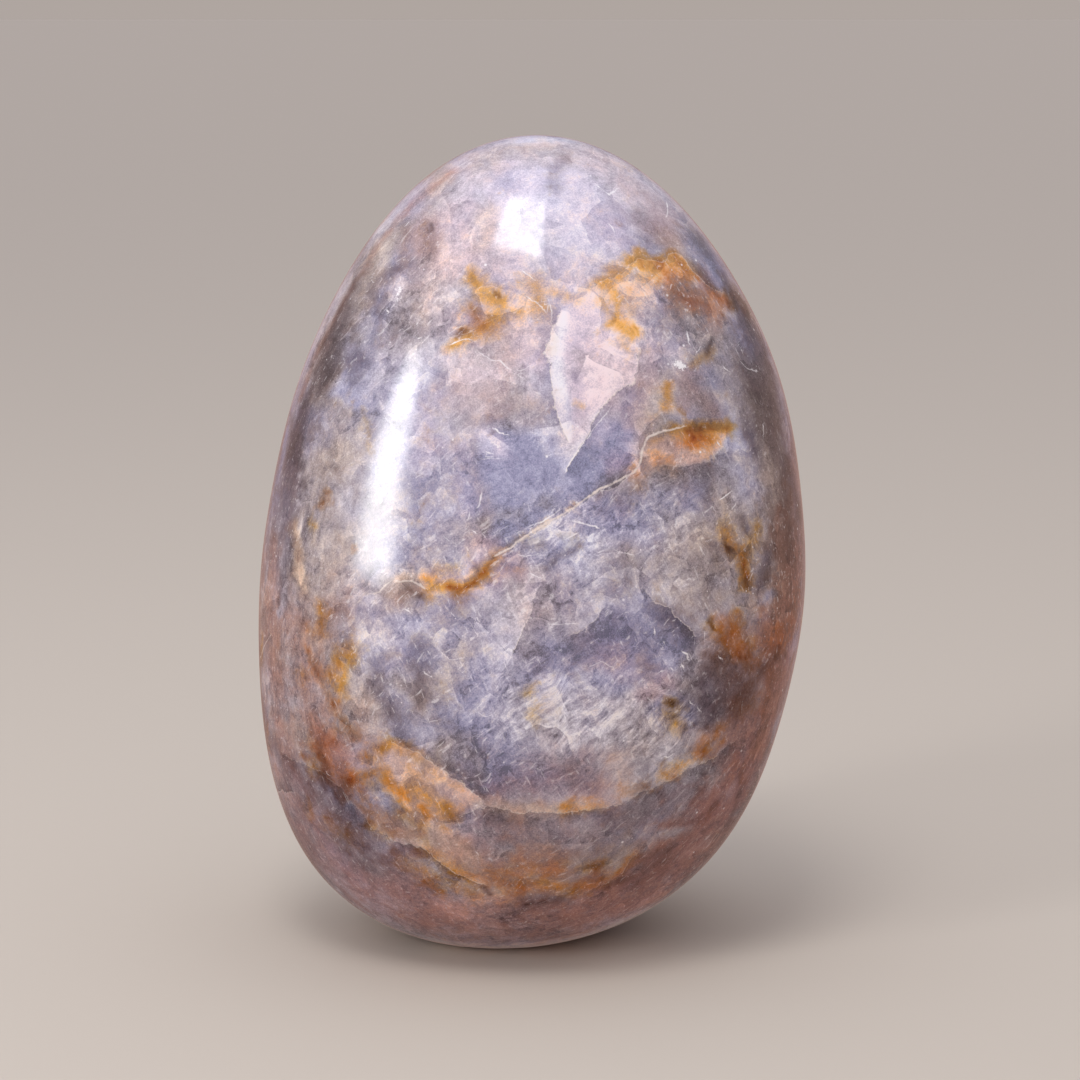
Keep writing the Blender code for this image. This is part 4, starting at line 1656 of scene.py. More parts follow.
LENS = feature(
    "rusty lens",
    patches(Field.MILK, (0.82, 0.5, 650, 440, 672, 433, 730, 428, 724, 446, 705, 462, 660, 466, 643, 462)),
    washes(Field.MILK,
        (0.62, 0.9, 640, 472, 660, 474), (0.85, 0.9, 682, 363, 672, 374, 668, 384),
        (0.6, 1.4, 672, 374, 664, 400, 650, 425), (1, 0.9, 666, 374, 660, 384),
        (0.95, 0.8, 648, 458, 658, 458), (0.75, 1.2, 652, 414, 646, 424), (1, 0.9, 656, 392, 662, 400)),
    patches(Field.ROSE, (1, 0.5, 650, 440, 690, 430, 730, 428, 722, 447, 700, 463, 660, 466, 643, 462)),
    patches(Field.TAN, (0.9, 0.5, 650, 440, 690, 430, 730, 428, 722, 447, 700, 463, 660, 466, 643, 462)),
    washes(Field.TAN, (0.7, 1.2, 668, 380, 660, 405, 652, 425), (0.8, 1, 736, 458, 746, 466)),
    patches(Field.GRIT, (0.5, 0.5, 650, 440, 690, 430, 730, 428, 722, 447, 700, 463, 660, 466, 643, 462)),
    washes(Field.BROWN, (0.7, 0.9, 680, 445, 700, 440), (0.35, 1.2, 660, 476, 680, 472, 705, 466)),
    washes(Field.OCHRE,
        (1.2, 1, 675, 431, 695, 431, 728, 428), (0.7, 1.2, 685, 434, 700, 440, 712, 436),
        (0, 0.9, 655, 456, 664, 460), (-0.05, 0.9, 705, 458, 720, 448),
        (0.75, 0.6, 669, 386, 667, 396, 665, 408), (-0.1, 0.7, 660, 412, 652, 422),
        (1.1, 0.9, 676, 427, 696, 425, 720, 427)),
    washes(Field.RUST, (0.3, 1.1, 690, 432, 705, 438), (0.2, 0.9, 634, 476, 640, 482)),
    seams(Seam.WISP, (0.8, 0.56, 718, 443, 720, 446)),
    seams(Seam.EDGE, (0.3, 0.3, 725, 448, 708, 462, 685, 466, 660, 467)),
    washes(Field.CREAM, (0.3, 0.7, 650, 458, 662, 456)),
    washes(Field.BLUE, (0.9, 1.5, 640, 402, 634, 412)),
)

SECOND_WINDOW = feature(
    "mauve window under the crack",
    patches(Field.MILK,
        (0.16, 1.8, 598, 494, 650, 478, 700, 462, 728, 470, 722, 500, 690, 520, 640, 522, 590, 522)),
    washes(Field.MILK,
        (0.7, 1.8, 735, 440, 742, 465, 748, 490), (0.25, 1.6, 715, 475, 710, 500),
        (0.75, 1.2, 688, 525, 698, 530)),
    patches(Field.GRIT, (0.2, 1.8, 598, 494, 650, 478, 700, 462, 728, 470, 722, 500, 690, 520, 590, 522)),
    patches(Field.BLUE,
        (1, 2, 600, 505, 660, 495, 700, 490, 700, 515, 640, 530, 600, 525),
        (0.1, 1.5, 610, 485, 650, 475, 700, 466, 690, 485, 640, 492)),
    washes(Field.BLUE,
        (0.9, 1.8, 735, 440, 745, 480), (1, 1.5, 604, 520, 650, 516), (1.1, 1.6, 640, 516, 664, 514)),
    patches(Field.SMOKE, (0.3, 1.5, 600, 494, 650, 478, 712, 466, 715, 490, 640, 500)),
    washes(Field.SMOKE,
        (0.6, 0.8, 600, 495, 612, 488), (0.6, 1, 704, 475, 705, 500, 700, 520),
        (0.7, 1.2, 612, 500, 630, 494)),
    washes(Field.SLANT, (0.6, 3, 610, 515, 680, 490)),
    seams(Seam.WISP,
        (1, 0.72, 721, 499, 730, 492), (0.8, 0.56, 732, 508, 736, 504),
        (0.6, 0.4, 704, 512, 712, 506, 716, 512)),
    washes(Field.TAN, (0, 1.8, 640, 514, 664, 514)),
    washes(Field.ROSE, (0, 1.8, 640, 514, 664, 514)),
)

BRIGHT_VEIL = feature(
    "bright veil under the crack",
    washes(Field.MILK,
        (0.95, 1.1, 528, 540, 550, 530, 572, 528), (0.8, 2, 580, 530, 600, 545, 580, 560),
        (0.66, 2.5, 510, 590, 530, 600, 505, 630), (0.15, 0.9, 584, 515, 600, 510),
        (0.85, 1.3, 582, 574, 594, 576), (0.95, 1.1, 514, 632, 522, 644), (1.1, 1, 514, 636, 520, 644),
        (0.88, 1.2, 520, 594, 530, 600), (1.25, 1.1, 584, 572, 592, 576)),
    washes(Field.BLUE,
        (0.9, 3.5, 540, 535, 600, 555), (1, 1.2, 580, 516, 600, 510), (1, 1.5, 575, 540, 590, 544),
        (1, 1.6, 522, 540, 534, 542), (1, 1.2, 578, 540, 590, 546)),
    washes(Field.GRIT, (1, 3, 535, 530, 590, 545)),
    washes(Field.SMOKE,
        (0.75, 1, 528, 545, 542, 543), (0.8, 0.6, 548, 570, 560, 556, 578, 545),
        (0.6, 0.6, 560, 535, 572, 540)),
    washes(Field.SLANT, (0.8, 3.5, 540, 545, 600, 530)),
    seams(Seam.WISP,
        (0.7, 0.9, 572, 520, 586, 524, 599, 528), (0.6, 0.6, 520, 556, 532, 557, 540, 553),
        (0.7, 0.5, 532, 575, 540, 578), (0.8, 0.5, 540, 522, 552, 515, 560, 509),
        (0.7, 0.5, 554, 531, 566, 522), (0.7, 0.5, 566, 539, 576, 533), (0.6, 0.4, 546, 539, 556, 536),
        (0.6, 0.5, 530, 529, 538, 521)),
    seams(Seam.EDGE, (0.3, 0.8, 541, 583, 533, 600, 527, 620, 520, 640, 512, 652)),
    washes(Field.TAN, (0, 1.4, 572, 540, 586, 544)),
    washes(Field.ROSE, (0, 1.4, 572, 540, 586, 544)),
)

GREY_FIELD = feature(
    "granular right middle",
    washes(Field.MILK,
        (0.55, 4.5, 620, 555, 670, 545, 690, 580), (0.4, 3.5, 735, 520, 745, 570),
        (0.42, 3, 620, 575, 590, 590), (0.35, 3, 770, 480, 775, 560), (0.55, 2, 745, 500, 735, 530),
        (0.75, 1.4, 655, 585, 672, 585, 690, 590), (1.2, 1.3, 598, 550, 604, 562),
        (0.8, 1.2, 632, 562, 652, 560), (0.92, 1.2, 608, 552, 618, 558), (0.62, 1.2, 670, 612, 682, 616),
        (0.28, 0.9, 728, 545, 742, 560, 744, 578), (0.8, 1.1, 672, 614, 684, 618)),
    washes(Field.TAN, (0.6, 4.5, 640, 555, 700, 540, 700, 590), (0.9, 2.5, 725, 530, 745, 560, 745, 600)),
    washes(Field.BLUE, (0.25, 5, 650, 550, 700, 560), (0.6, 1.5, 598, 555, 602, 563)),
    washes(Field.GRIT, (0.9, 5.5, 630, 560, 700, 560, 740, 590)),
    washes(Field.SMOKE,
        (0.8, 1.2, 618, 572, 626, 580), (0.4, 2.5, 705, 570, 725, 600), (0.75, 0.9, 741, 520, 744, 532),
        (0.6, 1, 715, 548, 728, 550), (0.95, 1, 772, 550, 765, 570, 759, 585),
        (0.6, 1.6, 770, 500, 775, 530)),
    washes(Field.OCHRE,
        (0.45, 0.8, 723, 530, 729, 541, 735, 548), (0.4, 1, 757, 528, 756, 538, 747, 548),
        (0.75, 0.8, 741, 552, 743, 568, 745, 585)),
    washes(Field.RUST, (0.35, 0.8, 730, 545, 742, 556, 745, 582)),
    washes(Field.DARK, (0.35, 0.6, 727, 545, 731, 549), (0.4, 0.6, 745, 580, 746, 586)),
    seams(Seam.EDGE, (0.7, 0.6, 694, 636, 686, 628, 678, 619, 668, 607, 657, 602, 645, 592)),
    seams(Seam.WISP, (0.3, 0.6, 604, 545, 618, 552, 632, 556)),
)

BLUE_FIELD = feature(
    "blue-grey middle",
    patches(Field.MILK,
        (0.12, 1.8, 541, 640, 590, 630, 650, 600, 672, 612, 700, 640, 690, 670, 640, 690, 560, 668,
         525, 690, 522, 660)),
    washes(Field.MILK,
        (0.45, 2, 560, 600, 600, 590, 550, 620), (0.8, 1.1, 580, 606, 595, 612, 585, 622),
        (0.4, 1.8, 600, 660, 625, 660), (0.5, 1.3, 655, 650, 665, 665), (0.45, 1.2, 640, 612, 645, 622),
        (0.42, 1.2, 632, 602, 642, 608)),
    patches(Field.BLUE, (0.95, 2, 541, 640, 590, 630, 655, 605, 690, 640, 680, 670, 620, 700, 540, 690)),
    washes(Field.BLUE, (0.85, 1.5, 632, 602, 642, 608)),
    washes(Field.GRIT, (0.8, 5, 560, 610, 600, 650, 660, 650)),
    washes(Field.SMOKE,
        (0.15, 4.5, 560, 640, 640, 650), (0.85, 1.5, 656, 612, 672, 620, 688, 640),
        (0.6, 1.2, 646, 645, 645, 668), (0.55, 2.2, 580, 640, 620, 632), (0.45, 1.6, 540, 660, 560, 655)),
    washes(Field.ROSE, (0.6, 2, 605, 655, 635, 665)),
    seams(Seam.WISP,
        (1, 0.88, 683, 653, 687, 654, 687, 659), (0.9, 0.64, 682, 666, 683, 667),
        (0.9, 0.64, 671, 669, 672, 669), (0.9, 0.64, 660, 672, 664, 671), (0.8, 0.56, 654, 631, 654, 633),
        (0.7, 0.48, 664, 643, 665, 644), (0.7, 0.48, 661, 649, 663, 649), (0.7, 0.48, 704, 637, 705, 640),
        (1, 0.72, 720, 659, 721, 660), (0.6, 0.4, 624, 613, 629, 612),
        (0.3, 0.5, 548, 624, 560, 624, 575, 622), (0.4, 0.3, 590, 666, 602, 661, 612, 668)),
    seams(Seam.EDGE, (0.6, 0.5, 603, 609, 594, 621, 583, 628, 570, 634)),
)

MOTTLED = feature(
    "mottled left below the crack",
    washes(Field.MILK,
        (0.32, 5.5, 420, 640, 470, 690, 500, 750), (0.75, 1.6, 405, 620, 430, 640),
        (0.8, 1.6, 470, 610, 500, 625), (0.75, 1.5, 400, 690, 425, 725, 430, 745),
        (0.8, 1.4, 495, 665, 505, 650), (0.7, 1.5, 455, 680, 470, 720), (0.65, 1.2, 455, 655, 440, 670),
        (0.1, 2.5, 490, 750, 520, 760, 500, 780), (0.68, 1.3, 498, 690, 506, 700),
        (0.52, 1.3, 498, 732, 508, 740), (0.78, 1.3, 452, 636, 460, 646), (0.22, 1.3, 380, 692, 388, 704)),
    washes(Field.BLUE, (0.8, 6, 430, 640, 470, 700, 500, 760)),
    washes(Field.GRIT, (0.9, 7, 420, 630, 470, 680, 490, 740)),
    washes(Field.SMOKE,
        (0.15, 6, 430, 640, 480, 720), (0.75, 1.2, 378, 664, 385, 690, 395, 715, 400, 730),
        (0.8, 1.4, 417, 655, 425, 675, 422, 700), (0.6, 1.4, 455, 610, 470, 600),
        (0.5, 2, 440, 700, 450, 720), (0.6, 1.8, 490, 750, 515, 745),
        (0.55, 2, 470, 780, 500, 790, 530, 785), (0, 1.5, 500, 692, 504, 738)),
    washes(Field.TAN, (0.7, 1.8, 460, 650, 450, 680)),
    washes(Field.ROSE, (0.5, 2.5, 500, 790, 550, 780)),
    seams(Seam.WISP,
        (0.7, 0.48, 407, 611, 410, 613), (0.7, 0.48, 451, 615, 454, 617), (0.7, 0.48, 397, 695, 400, 697),
        (0.7, 0.48, 424, 673, 430, 677), (0.6, 0.4, 381, 647, 384, 649), (0.7, 0.48, 476, 618, 480, 622),
        (0.4, 0.6, 470, 622, 476, 634), (0.4, 0.5, 483, 682, 490, 692, 498, 698),
        (0.3, 0.5, 480, 712, 486, 716, 492, 714), (0.3, 0.5, 437, 650, 450, 660, 462, 658),
        (0.3, 0.4, 412, 712, 424, 722, 436, 720)),
)

STREAKED = feature(
    "streaked lower middle",
    washes(Field.MILK,
        (0.74, 3.5, 560, 720, 600, 705, 640, 705), (0.7, 1.6, 535, 745, 570, 725, 600, 735),
        (0.75, 1, 600, 708, 640, 690), (1.05, 1, 566, 742, 590, 726, 612, 712),
        (0.85, 1.2, 528, 752, 545, 738), (0.66, 3.2, 590, 750, 620, 745, 670, 740),
        (0.8, 1, 565, 695, 572, 690), (0.75, 0.9, 648, 692, 662, 682), (0.7, 0.6, 688, 768, 698, 765),
        (1.15, 1.1, 562, 748, 588, 736, 606, 722), (1, 1.1, 518, 726, 530, 738, 546, 742),
        (0.75, 1.3, 606, 786, 626, 780), (0.85, 1, 664, 760, 676, 754), (1.05, 1.1, 600, 752, 610, 754),
        (0.98, 1, 632, 704, 640, 710), (1.1, 1, 584, 720, 592, 722), (0.92, 1.1, 534, 736, 544, 740),
        (0.58, 1.3, 566, 796, 576, 822), (1.1, 1.1, 532, 736, 546, 740), (1, 1, 664, 756, 676, 758),
        (0.9, 1.1, 516, 706, 526, 712), (0.9, 1, 550, 682, 560, 688), (0.78, 1.2, 566, 800, 576, 824),
        (1.35, 1, 534, 738, 544, 741), (0.95, 1.2, 610, 786, 624, 788)),
    washes(Field.SLANT, (1.1, 5.5, 550, 720, 610, 715, 660, 725)),
    washes(Field.GRIT, (0.6, 5, 560, 720, 640, 730)),
    washes(Field.BLUE,
        (0.4, 4, 570, 720, 640, 720), (0.4, 1.5, 535, 694, 548, 700), (0.7, 1.3, 530, 682, 536, 686),
        (0.6, 1.3, 666, 708, 674, 712)),
    washes(Field.TAN, (0.4, 3, 660, 730, 640, 750)),
    washes(Field.SMOKE,
        (0.6, 1.8, 565, 755, 590, 765), (0.35, 3, 560, 780, 610, 775), (0.05, 1.8, 560, 748, 592, 734),
        (0.1, 1.6, 606, 786, 626, 780)),
    washes(Field.BROWN, (0.45, 2.5, 590, 770, 620, 765), (0.35, 3.5, 500, 800, 600, 795)),
    washes(Field.CREAM, (-0.45, 0.9, 545, 690, 560, 682), (0.7, 0.8, 660, 776, 674, 771, 688, 764)),
    washes(Field.OCHRE,
        (0.25, 0.6, 524, 693, 531, 686), (0, 0.8, 532, 715, 536, 725), (0.6, 0.6, 669, 702, 671, 704),
        (0.45, 0.9, 672, 716, 676, 724), (0.45, 0.8, 668, 772, 682, 766),
        (0.4, 1.1, 704, 752, 712, 740, 718, 735), (-0.3, 0.8, 566, 796, 574, 800)),
    washes(Field.ROSE, (0.8, 1.2, 645, 695, 664, 682)),
    seams(Seam.WISP,
        (1, 1, 666, 757, 672, 755), (0.7, 0.48, 690, 703, 692, 705), (0.7, 0.48, 697, 708, 699, 710),
        (0.6, 0.4, 648, 698, 651, 701), (0.4, 0.4, 575, 706, 590, 700, 601, 694)),
    washes(Field.DARK, (0.5, 0.5, 668, 702, 672, 704)),
    washes(Field.RUST,
        (0.3, 0.9, 630, 790, 645, 786), (0.2, 1.2, 690, 752, 705, 745), (0.05, 1.2, 706, 740, 718, 735)),
)

# The darkness of this corner is partly the stone's own smoke and partly painted shade of the lower right
# side; its brown by the right edge is painted reflection.
DARK_CORNER = feature(
    "dark right corner",
    washes(Field.MILK, (0.18, 3.5, 715, 660, 735, 690, 715, 715), (0.4, 2.5, 755, 620, 775, 630)),
    washes(Field.SMOKE,
        (0.95, 1.8, 712, 680, 722, 700, 706, 715), (0.75, 2.2, 735, 670, 745, 690),
        (0.6, 1.4, 680, 695, 690, 705), (0.7, 0.7, 760, 672, 772, 660, 785, 655),
        (1.1, 1.5, 700, 685, 706, 702)),
    washes(Field.BROWN,
        (0.95, 4, 735, 670, 750, 710, 740, 750), (0.7, 2.5, 760, 620, 785, 640), (1, 2, 762, 640, 772, 690)),
    washes(Field.GRIT, (0.2, 4, 735, 670, 745, 720)),
    washes(Field.BLUE, (0, 6, 740, 660, 760, 740, 700, 840)),
    washes(Field.OCHRE,
        (0.7, 0.8, 710, 626, 720, 636, 727, 648, 736, 655), (0.45, 0.9, 736, 620, 731, 634),
        (0.3, 1.8, 735, 645, 752, 645), (0.15, 1.4, 778, 632, 786, 645)),
    washes(Field.RUST,
        (0.3, 1, 725, 640, 740, 655, 755, 668), (0.35, 1.3, 798, 590, 792, 625, 776, 648),
        (0.1, 1.6, 745, 700, 765, 700), (0.1, 1.2, 768, 645, 770, 685)),
    washes(Field.DARK, (0.5, 0.5, 708, 622, 712, 630)),
)

PATCH = feature(
    "cream patch, lower left",
    patches(Field.MILK,
        (0.7, 0.35, 376, 765, 382, 744, 400, 742, 430, 758, 450, 775, 482, 798, 462, 810, 446, 820,
         418, 822, 400, 806, 384, 786)),
    washes(Field.MILK,
        (0.88, 0.8, 386, 762, 402, 776), (0.85, 0.7, 440, 778, 460, 796), (0.5, 2.5, 330, 745, 350, 765),
        (0.6, 1.2, 290, 745, 305, 757), (0.62, 0.8, 336, 752, 344, 766), (0.5, 0.9, 370, 793, 383, 799),
        (0.55, 1.2, 414, 754, 424, 760)),
    patches(Field.ROSE,
        (0.8, 0.6, 376, 765, 382, 744, 400, 742, 430, 758, 450, 775, 482, 798, 446, 820, 418, 822, 384, 786)),
    washes(Field.ROSE, (0.8, 2.5, 330, 750, 365, 765), (0.4, 1.1, 412, 752, 424, 758)),
    patches(Field.TAN,
        (1.1, 0.6, 376, 765, 382, 744, 400, 742, 430, 758, 450, 775, 482, 798, 446, 820, 418, 822, 384, 786)),
    washes(Field.TAN, (0.7, 3, 300, 740, 340, 750, 365, 765)),
    patches(Field.GRIT, (0.55, 0.6, 376, 765, 400, 742, 450, 775, 482, 798, 446, 820, 400, 806)),
    patches(Field.SMOKE, (0, 0.6, 376, 765, 400, 742, 450, 775, 482, 798, 446, 820, 400, 806)),
    washes(Field.SMOKE,
        (0.3, 1.2, 362, 812, 385, 818), (0.3, 1.4, 334, 776, 342, 790), (0.3, 1.2, 402, 754, 422, 760),
        (0.45, 1.1, 412, 752, 424, 758), (0.3, 1, 318, 738, 328, 746)),
    washes(Field.OCHRE,
        (0.8, 0.9, 380, 750, 388, 744, 400, 747), (0, 0.9, 404, 748, 420, 758, 436, 770),
        (0.7, 0.9, 384, 778, 394, 789, 408, 797), (0.45, 1, 412, 788, 424, 795, 432, 803),
        (0.7, 0.7, 421, 808, 426, 816), (0.95, 0.8, 447, 807, 451, 815), (0.3, 0.9, 399, 800, 403, 814),
        (-0.05, 1.5, 320, 758, 345, 780), (0.4, 0.9, 352, 780, 364, 776, 376, 774),
        (0.3, 1, 362, 780, 378, 783), (0.6, 0.9, 334, 676, 338, 690), (0, 1, 358, 792, 370, 800),
        (0.2, 1, 366, 758, 376, 760)),
    washes(Field.RUST,
        (0.15, 0.8, 388, 782, 405, 796), (0.2, 0.6, 421, 808, 426, 816),
        (0.25, 0.9, 308, 741, 318, 752, 330, 742), (0.65, 0.9, 318, 758, 326, 772, 340, 778),
        (0.55, 0.9, 342, 782, 350, 784, 346, 794), (0.05, 0.8, 352, 780, 374, 774),
        (0.1, 1, 360, 806, 382, 814), (0.75, 1, 330, 770, 337, 778, 342, 788),
        (0.45, 1.1, 334, 772, 342, 782), (-0.15, 1, 366, 762, 372, 776), (0.1, 1.2, 308, 764, 320, 768)),
    washes(Field.BLUE, (0.6, 1, 370, 793, 383, 799)),
    washes(Field.BROWN,
        (0.75, 1.2, 362, 812, 385, 818, 400, 828), (0.3, 1.4, 402, 754, 424, 762),
        (0.8, 1.3, 332, 772, 342, 784), (1.1, 1.3, 318, 738, 328, 746), (0.9, 1.2, 358, 792, 370, 800)),
    seams(Seam.WISP, (0.8, 0.56, 327, 773, 329, 775), (0.6, 0.4, 385, 803, 387, 805)),
    seams(Seam.EDGE, (0.4, 0.7, 392, 742, 405, 748, 425, 757, 444, 770, 462, 783, 482, 799)),
)

LOWER_BAND = feature(
    "cream band, lower left",
    patches(Field.MILK,
        (0.55, 0.8, 350, 800, 400, 815, 440, 822, 470, 840, 500, 880, 470, 880, 430, 855, 390, 838,
         365, 822)),
    washes(Field.MILK, (0.72, 1.3, 436, 824, 455, 840, 470, 852)),
    patches(Field.TAN,
        (0.95, 0.8, 350, 800, 400, 815, 440, 822, 470, 840, 500, 880, 470, 880, 430, 855, 390, 838,
         365, 822)),
    washes(Field.ROSE, (0.8, 2.5, 450, 840, 490, 870)),
    washes(Field.OCHRE,
        (0.3, 0.9, 370, 825, 388, 836), (0.4, 0.9, 425, 850, 445, 864, 460, 868),
        (0.55, 0.6, 450, 872, 470, 879)),
    washes(Field.SMOKE, (0.7, 0.9, 396, 846, 412, 850, 425, 856), (0.35, 1.2, 398, 836, 408, 846)),
    washes(Field.DARK, (0.35, 0.5, 484, 887, 490, 895)),
    seams(Seam.WISP, (0.6, 0.4, 476, 851, 478, 854)),
    seams(Seam.EDGE,
        (0.6, 0.6, 482, 882, 458, 874, 440, 862, 426, 850, 410, 845, 395, 842),
        (0.35, 0.25, 390, 838, 372, 826, 352, 803, 338, 786, 322, 772, 300, 762, 282, 752)),
    washes(Field.BROWN, (0.8, 1.4, 395, 832, 408, 848)),
)

LOWER_VEIN = feature(
    "lower vein",
    washes(Field.OCHRE, (0.45, 0.6, 562, 805, 572, 806), (0.1, 0.7, 580, 808, 600, 806)),
    washes(Field.CREAM, (0.3, 0.7, 580, 805, 600, 800)),
    washes(Field.SMOKE, (0.55, 0.9, 475, 812, 500, 818)),
    washes(Field.MILK, (0.6, 0.7, 480, 806, 520, 809, 560, 808, 600, 804, 622, 798)),
    washes(Field.TAN, (0.9, 0.9, 480, 806, 520, 809, 560, 808, 600, 804)),
    seams(Seam.EDGE,
        (0.45, 0.5, 735, 740, 715, 757, 697, 766, 678, 775, 660, 783, 640, 793, 622, 802, 600, 808,
         565, 811, 540, 812, 510, 810, 478, 808, 462, 815)),
)

# The brown, rose and smoke of the foot are partly its own colour and partly painted shade and painted
# reflection of the floor; the milk along the bottom edge is painted light that lifts the shadowed underside.
FOOT_AND_SHADE = feature(
    "brown foot",
    washes(Field.MILK,
        (0.34, 5, 500, 835, 600, 835, 680, 810), (0.38, 5.5, 330, 830, 380, 880, 470, 925, 600, 915),
        (0.28, 4, 700, 840, 740, 770, 770, 690), (0.5, 2, 500, 885, 560, 885, 600, 875),
        (0.6, 1.8, 450, 908, 480, 912), (0.45, 2.2, 638, 845, 650, 835), (0.45, 2.2, 580, 905, 600, 900),
        (0.52, 1.8, 618, 862, 632, 852), (0.58, 2.4, 430, 945, 520, 952, 600, 940, 655, 918),
        (0.6, 1.5, 488, 866, 500, 868), (0.45, 2, 690, 848, 706, 836), (0.48, 1.5, 742, 762, 750, 784),
        (0.9, 2, 440, 950, 500, 956, 560, 952, 610, 942, 650, 926), (0.62, 1.8, 580, 908, 600, 912),
        (0.62, 1.3, 616, 862, 626, 868), (0.46, 2.5, 700, 818, 730, 796, 764, 738),
        (0.95, 1.4, 568, 818, 582, 822), (0.6, 1.8, 456, 934, 470, 930), (1.05, 2, 560, 952, 610, 942)),
    washes(Field.BROWN,
        (0.55, 4, 480, 830, 560, 840, 640, 825), (0.8, 5, 300, 800, 350, 870, 440, 920, 560, 925),
        (1, 4, 600, 900, 680, 860, 735, 800, 770, 720), (1.05, 2, 790, 600, 785, 680, 760, 760),
        (0.8, 2, 575, 785, 600, 788), (1.1, 2.5, 700, 812, 715, 840, 680, 860), (1, 3, 620, 905, 650, 900)),
    washes(Field.SMOKE,
        (0.12, 5, 480, 830, 580, 835), (0.12, 5, 350, 860, 480, 920, 600, 900),
        (0.6, 2.2, 295, 770, 320, 800, 345, 820), (0.45, 2.5, 360, 840, 385, 870),
        (0.5, 3, 640, 820, 690, 790), (0.55, 2.5, 650, 860, 690, 845),
        (0.6, 0.9, 742, 775, 735, 805, 728, 825), (0.55, 0.9, 720, 800, 700, 818),
        (0.7, 1.4, 525, 902, 560, 900), (0.65, 1.3, 612, 884, 630, 876), (0, 2, 450, 908, 480, 912),
        (0.05, 2.2, 638, 845, 650, 835), (0.1, 1.6, 578, 905, 600, 902)),
    washes(Field.GRIT, (0.4, 8, 330, 840, 450, 900, 600, 860, 700, 830)),
    washes(Field.BLUE,
        (0.3, 3.5, 500, 825, 600, 825, 680, 790), (0.35, 3, 300, 775, 340, 820, 390, 860),
        (0, 3.5, 420, 920, 560, 925, 680, 870), (0, 2.5, 700, 812, 715, 840)),
    washes(Field.TAN,
        (0.4, 6, 420, 880, 560, 890, 660, 860), (1, 3, 500, 880, 560, 880, 610, 870),
        (0.9, 2, 520, 870, 560, 862, 600, 862)),
    washes(Field.DARK, (0.2, 0.6, 525, 905, 545, 903), (0.2, 0.9, 588, 868, 600, 866)),
    washes(Field.CREAM, (0.3, 1.2, 485, 900, 510, 900, 535, 890)),
    washes(Field.OCHRE,
        (0.1, 1.2, 500, 872, 520, 864, 540, 866), (0.45, 1, 522, 884, 545, 882, 570, 890, 592, 888),
        (0.3, 0.8, 600, 882, 616, 872, 628, 860), (0.4, 0.9, 590, 868, 600, 866),
        (0.3, 1.2, 430, 880, 440, 890), (0.2, 1.4, 408, 865, 425, 870), (0.15, 1.2, 455, 885, 472, 895),
        (0.15, 1, 308, 808, 312, 818), (0.1, 1.6, 330, 825, 345, 835), (-0.1, 1.2, 530, 866, 560, 862),
        (0.3, 1.3, 540, 874, 560, 870), (0.35, 1, 448, 880, 458, 884), (-0.25, 1.2, 488, 866, 506, 900)),
    washes(Field.RUST,
        (0.15, 1.2, 485, 872, 510, 880, 522, 888), (0.1, 1, 430, 885, 438, 892),
        (-0.3, 1.6, 738, 755, 750, 790), (-0.35, 1.5, 702, 820, 728, 796)),
    seams(Seam.EDGE, (0.3, 0.4, 640, 848, 632, 858, 622, 872, 604, 884, 585, 894)),
    washes(Field.ROSE,
        (1.1, 3.5, 700, 815, 735, 790, 765, 735, 790, 650), (0.9, 6, 360, 880, 460, 925, 580, 925, 660, 885)),
)

# The brown and low milk round the base darken it all round: painted shade and painted reflection, carried on
# from the foot.
BASE_SHADE_ALL_ROUND = feature(
    "brown base, all round",
    far_washes(Field.BROWN,
        (0.8, 7, 75, 10, 120, 8, 165, 10, 210, 9, 255, 8, 285, 12), (0.75, 5, 88, 50, 90, 30, 92, 20),
        (0.7, 5, 272, 45, 270, 30, 268, 20)),
    far_washes(Field.MILK, (0.35, 7, 75, 10, 120, 10, 165, 12, 210, 10, 255, 10, 285, 12)),
    far_washes(Field.BLUE, (0.1, 8, 75, 12, 120, 10, 165, 12, 210, 12, 255, 10, 285, 12)),
    far_washes(Field.FALL, (0.8, 6, 100, 40, 105, 25, 250, 30, 262, 40)),
)

BACK_CRACK = feature(
    "healed crack across the back",
    far_washes(Field.ROSE, (0.7, 3, 128, 50, 150, 44, 175, 46, 205, 57, 232, 62)),
    far_washes(Field.OCHRE,
        (0.85, 0.9, 135, 48, 148, 44, 160, 42, 172, 45), (0.6, 1.2, 206, 57, 216, 60, 224, 61)),
    far_washes(Field.RUST, (0.5, 0.5, 140, 47, 150, 44, 158, 42)),
    far_washes(Field.CREAM, (0.5, 0.8, 176, 46, 190, 52, 204, 56)),
    far_seams(Seam.CRACK,
        (0.8, 0.6, 126, 51, 138, 47, 152, 43, 166, 43, 178, 47, 192, 53, 206, 57, 220, 60, 236, 62)),
    far_washes(Field.MILK, (0.95, 1.6, 150, 40, 172, 42, 196, 50)),
    far_washes(Field.GRIT, (1, 4, 150, 38, 175, 38, 200, 45)),
    far_washes(Field.SLANT, (0.8, 4, 160, 36, 195, 44)),
)

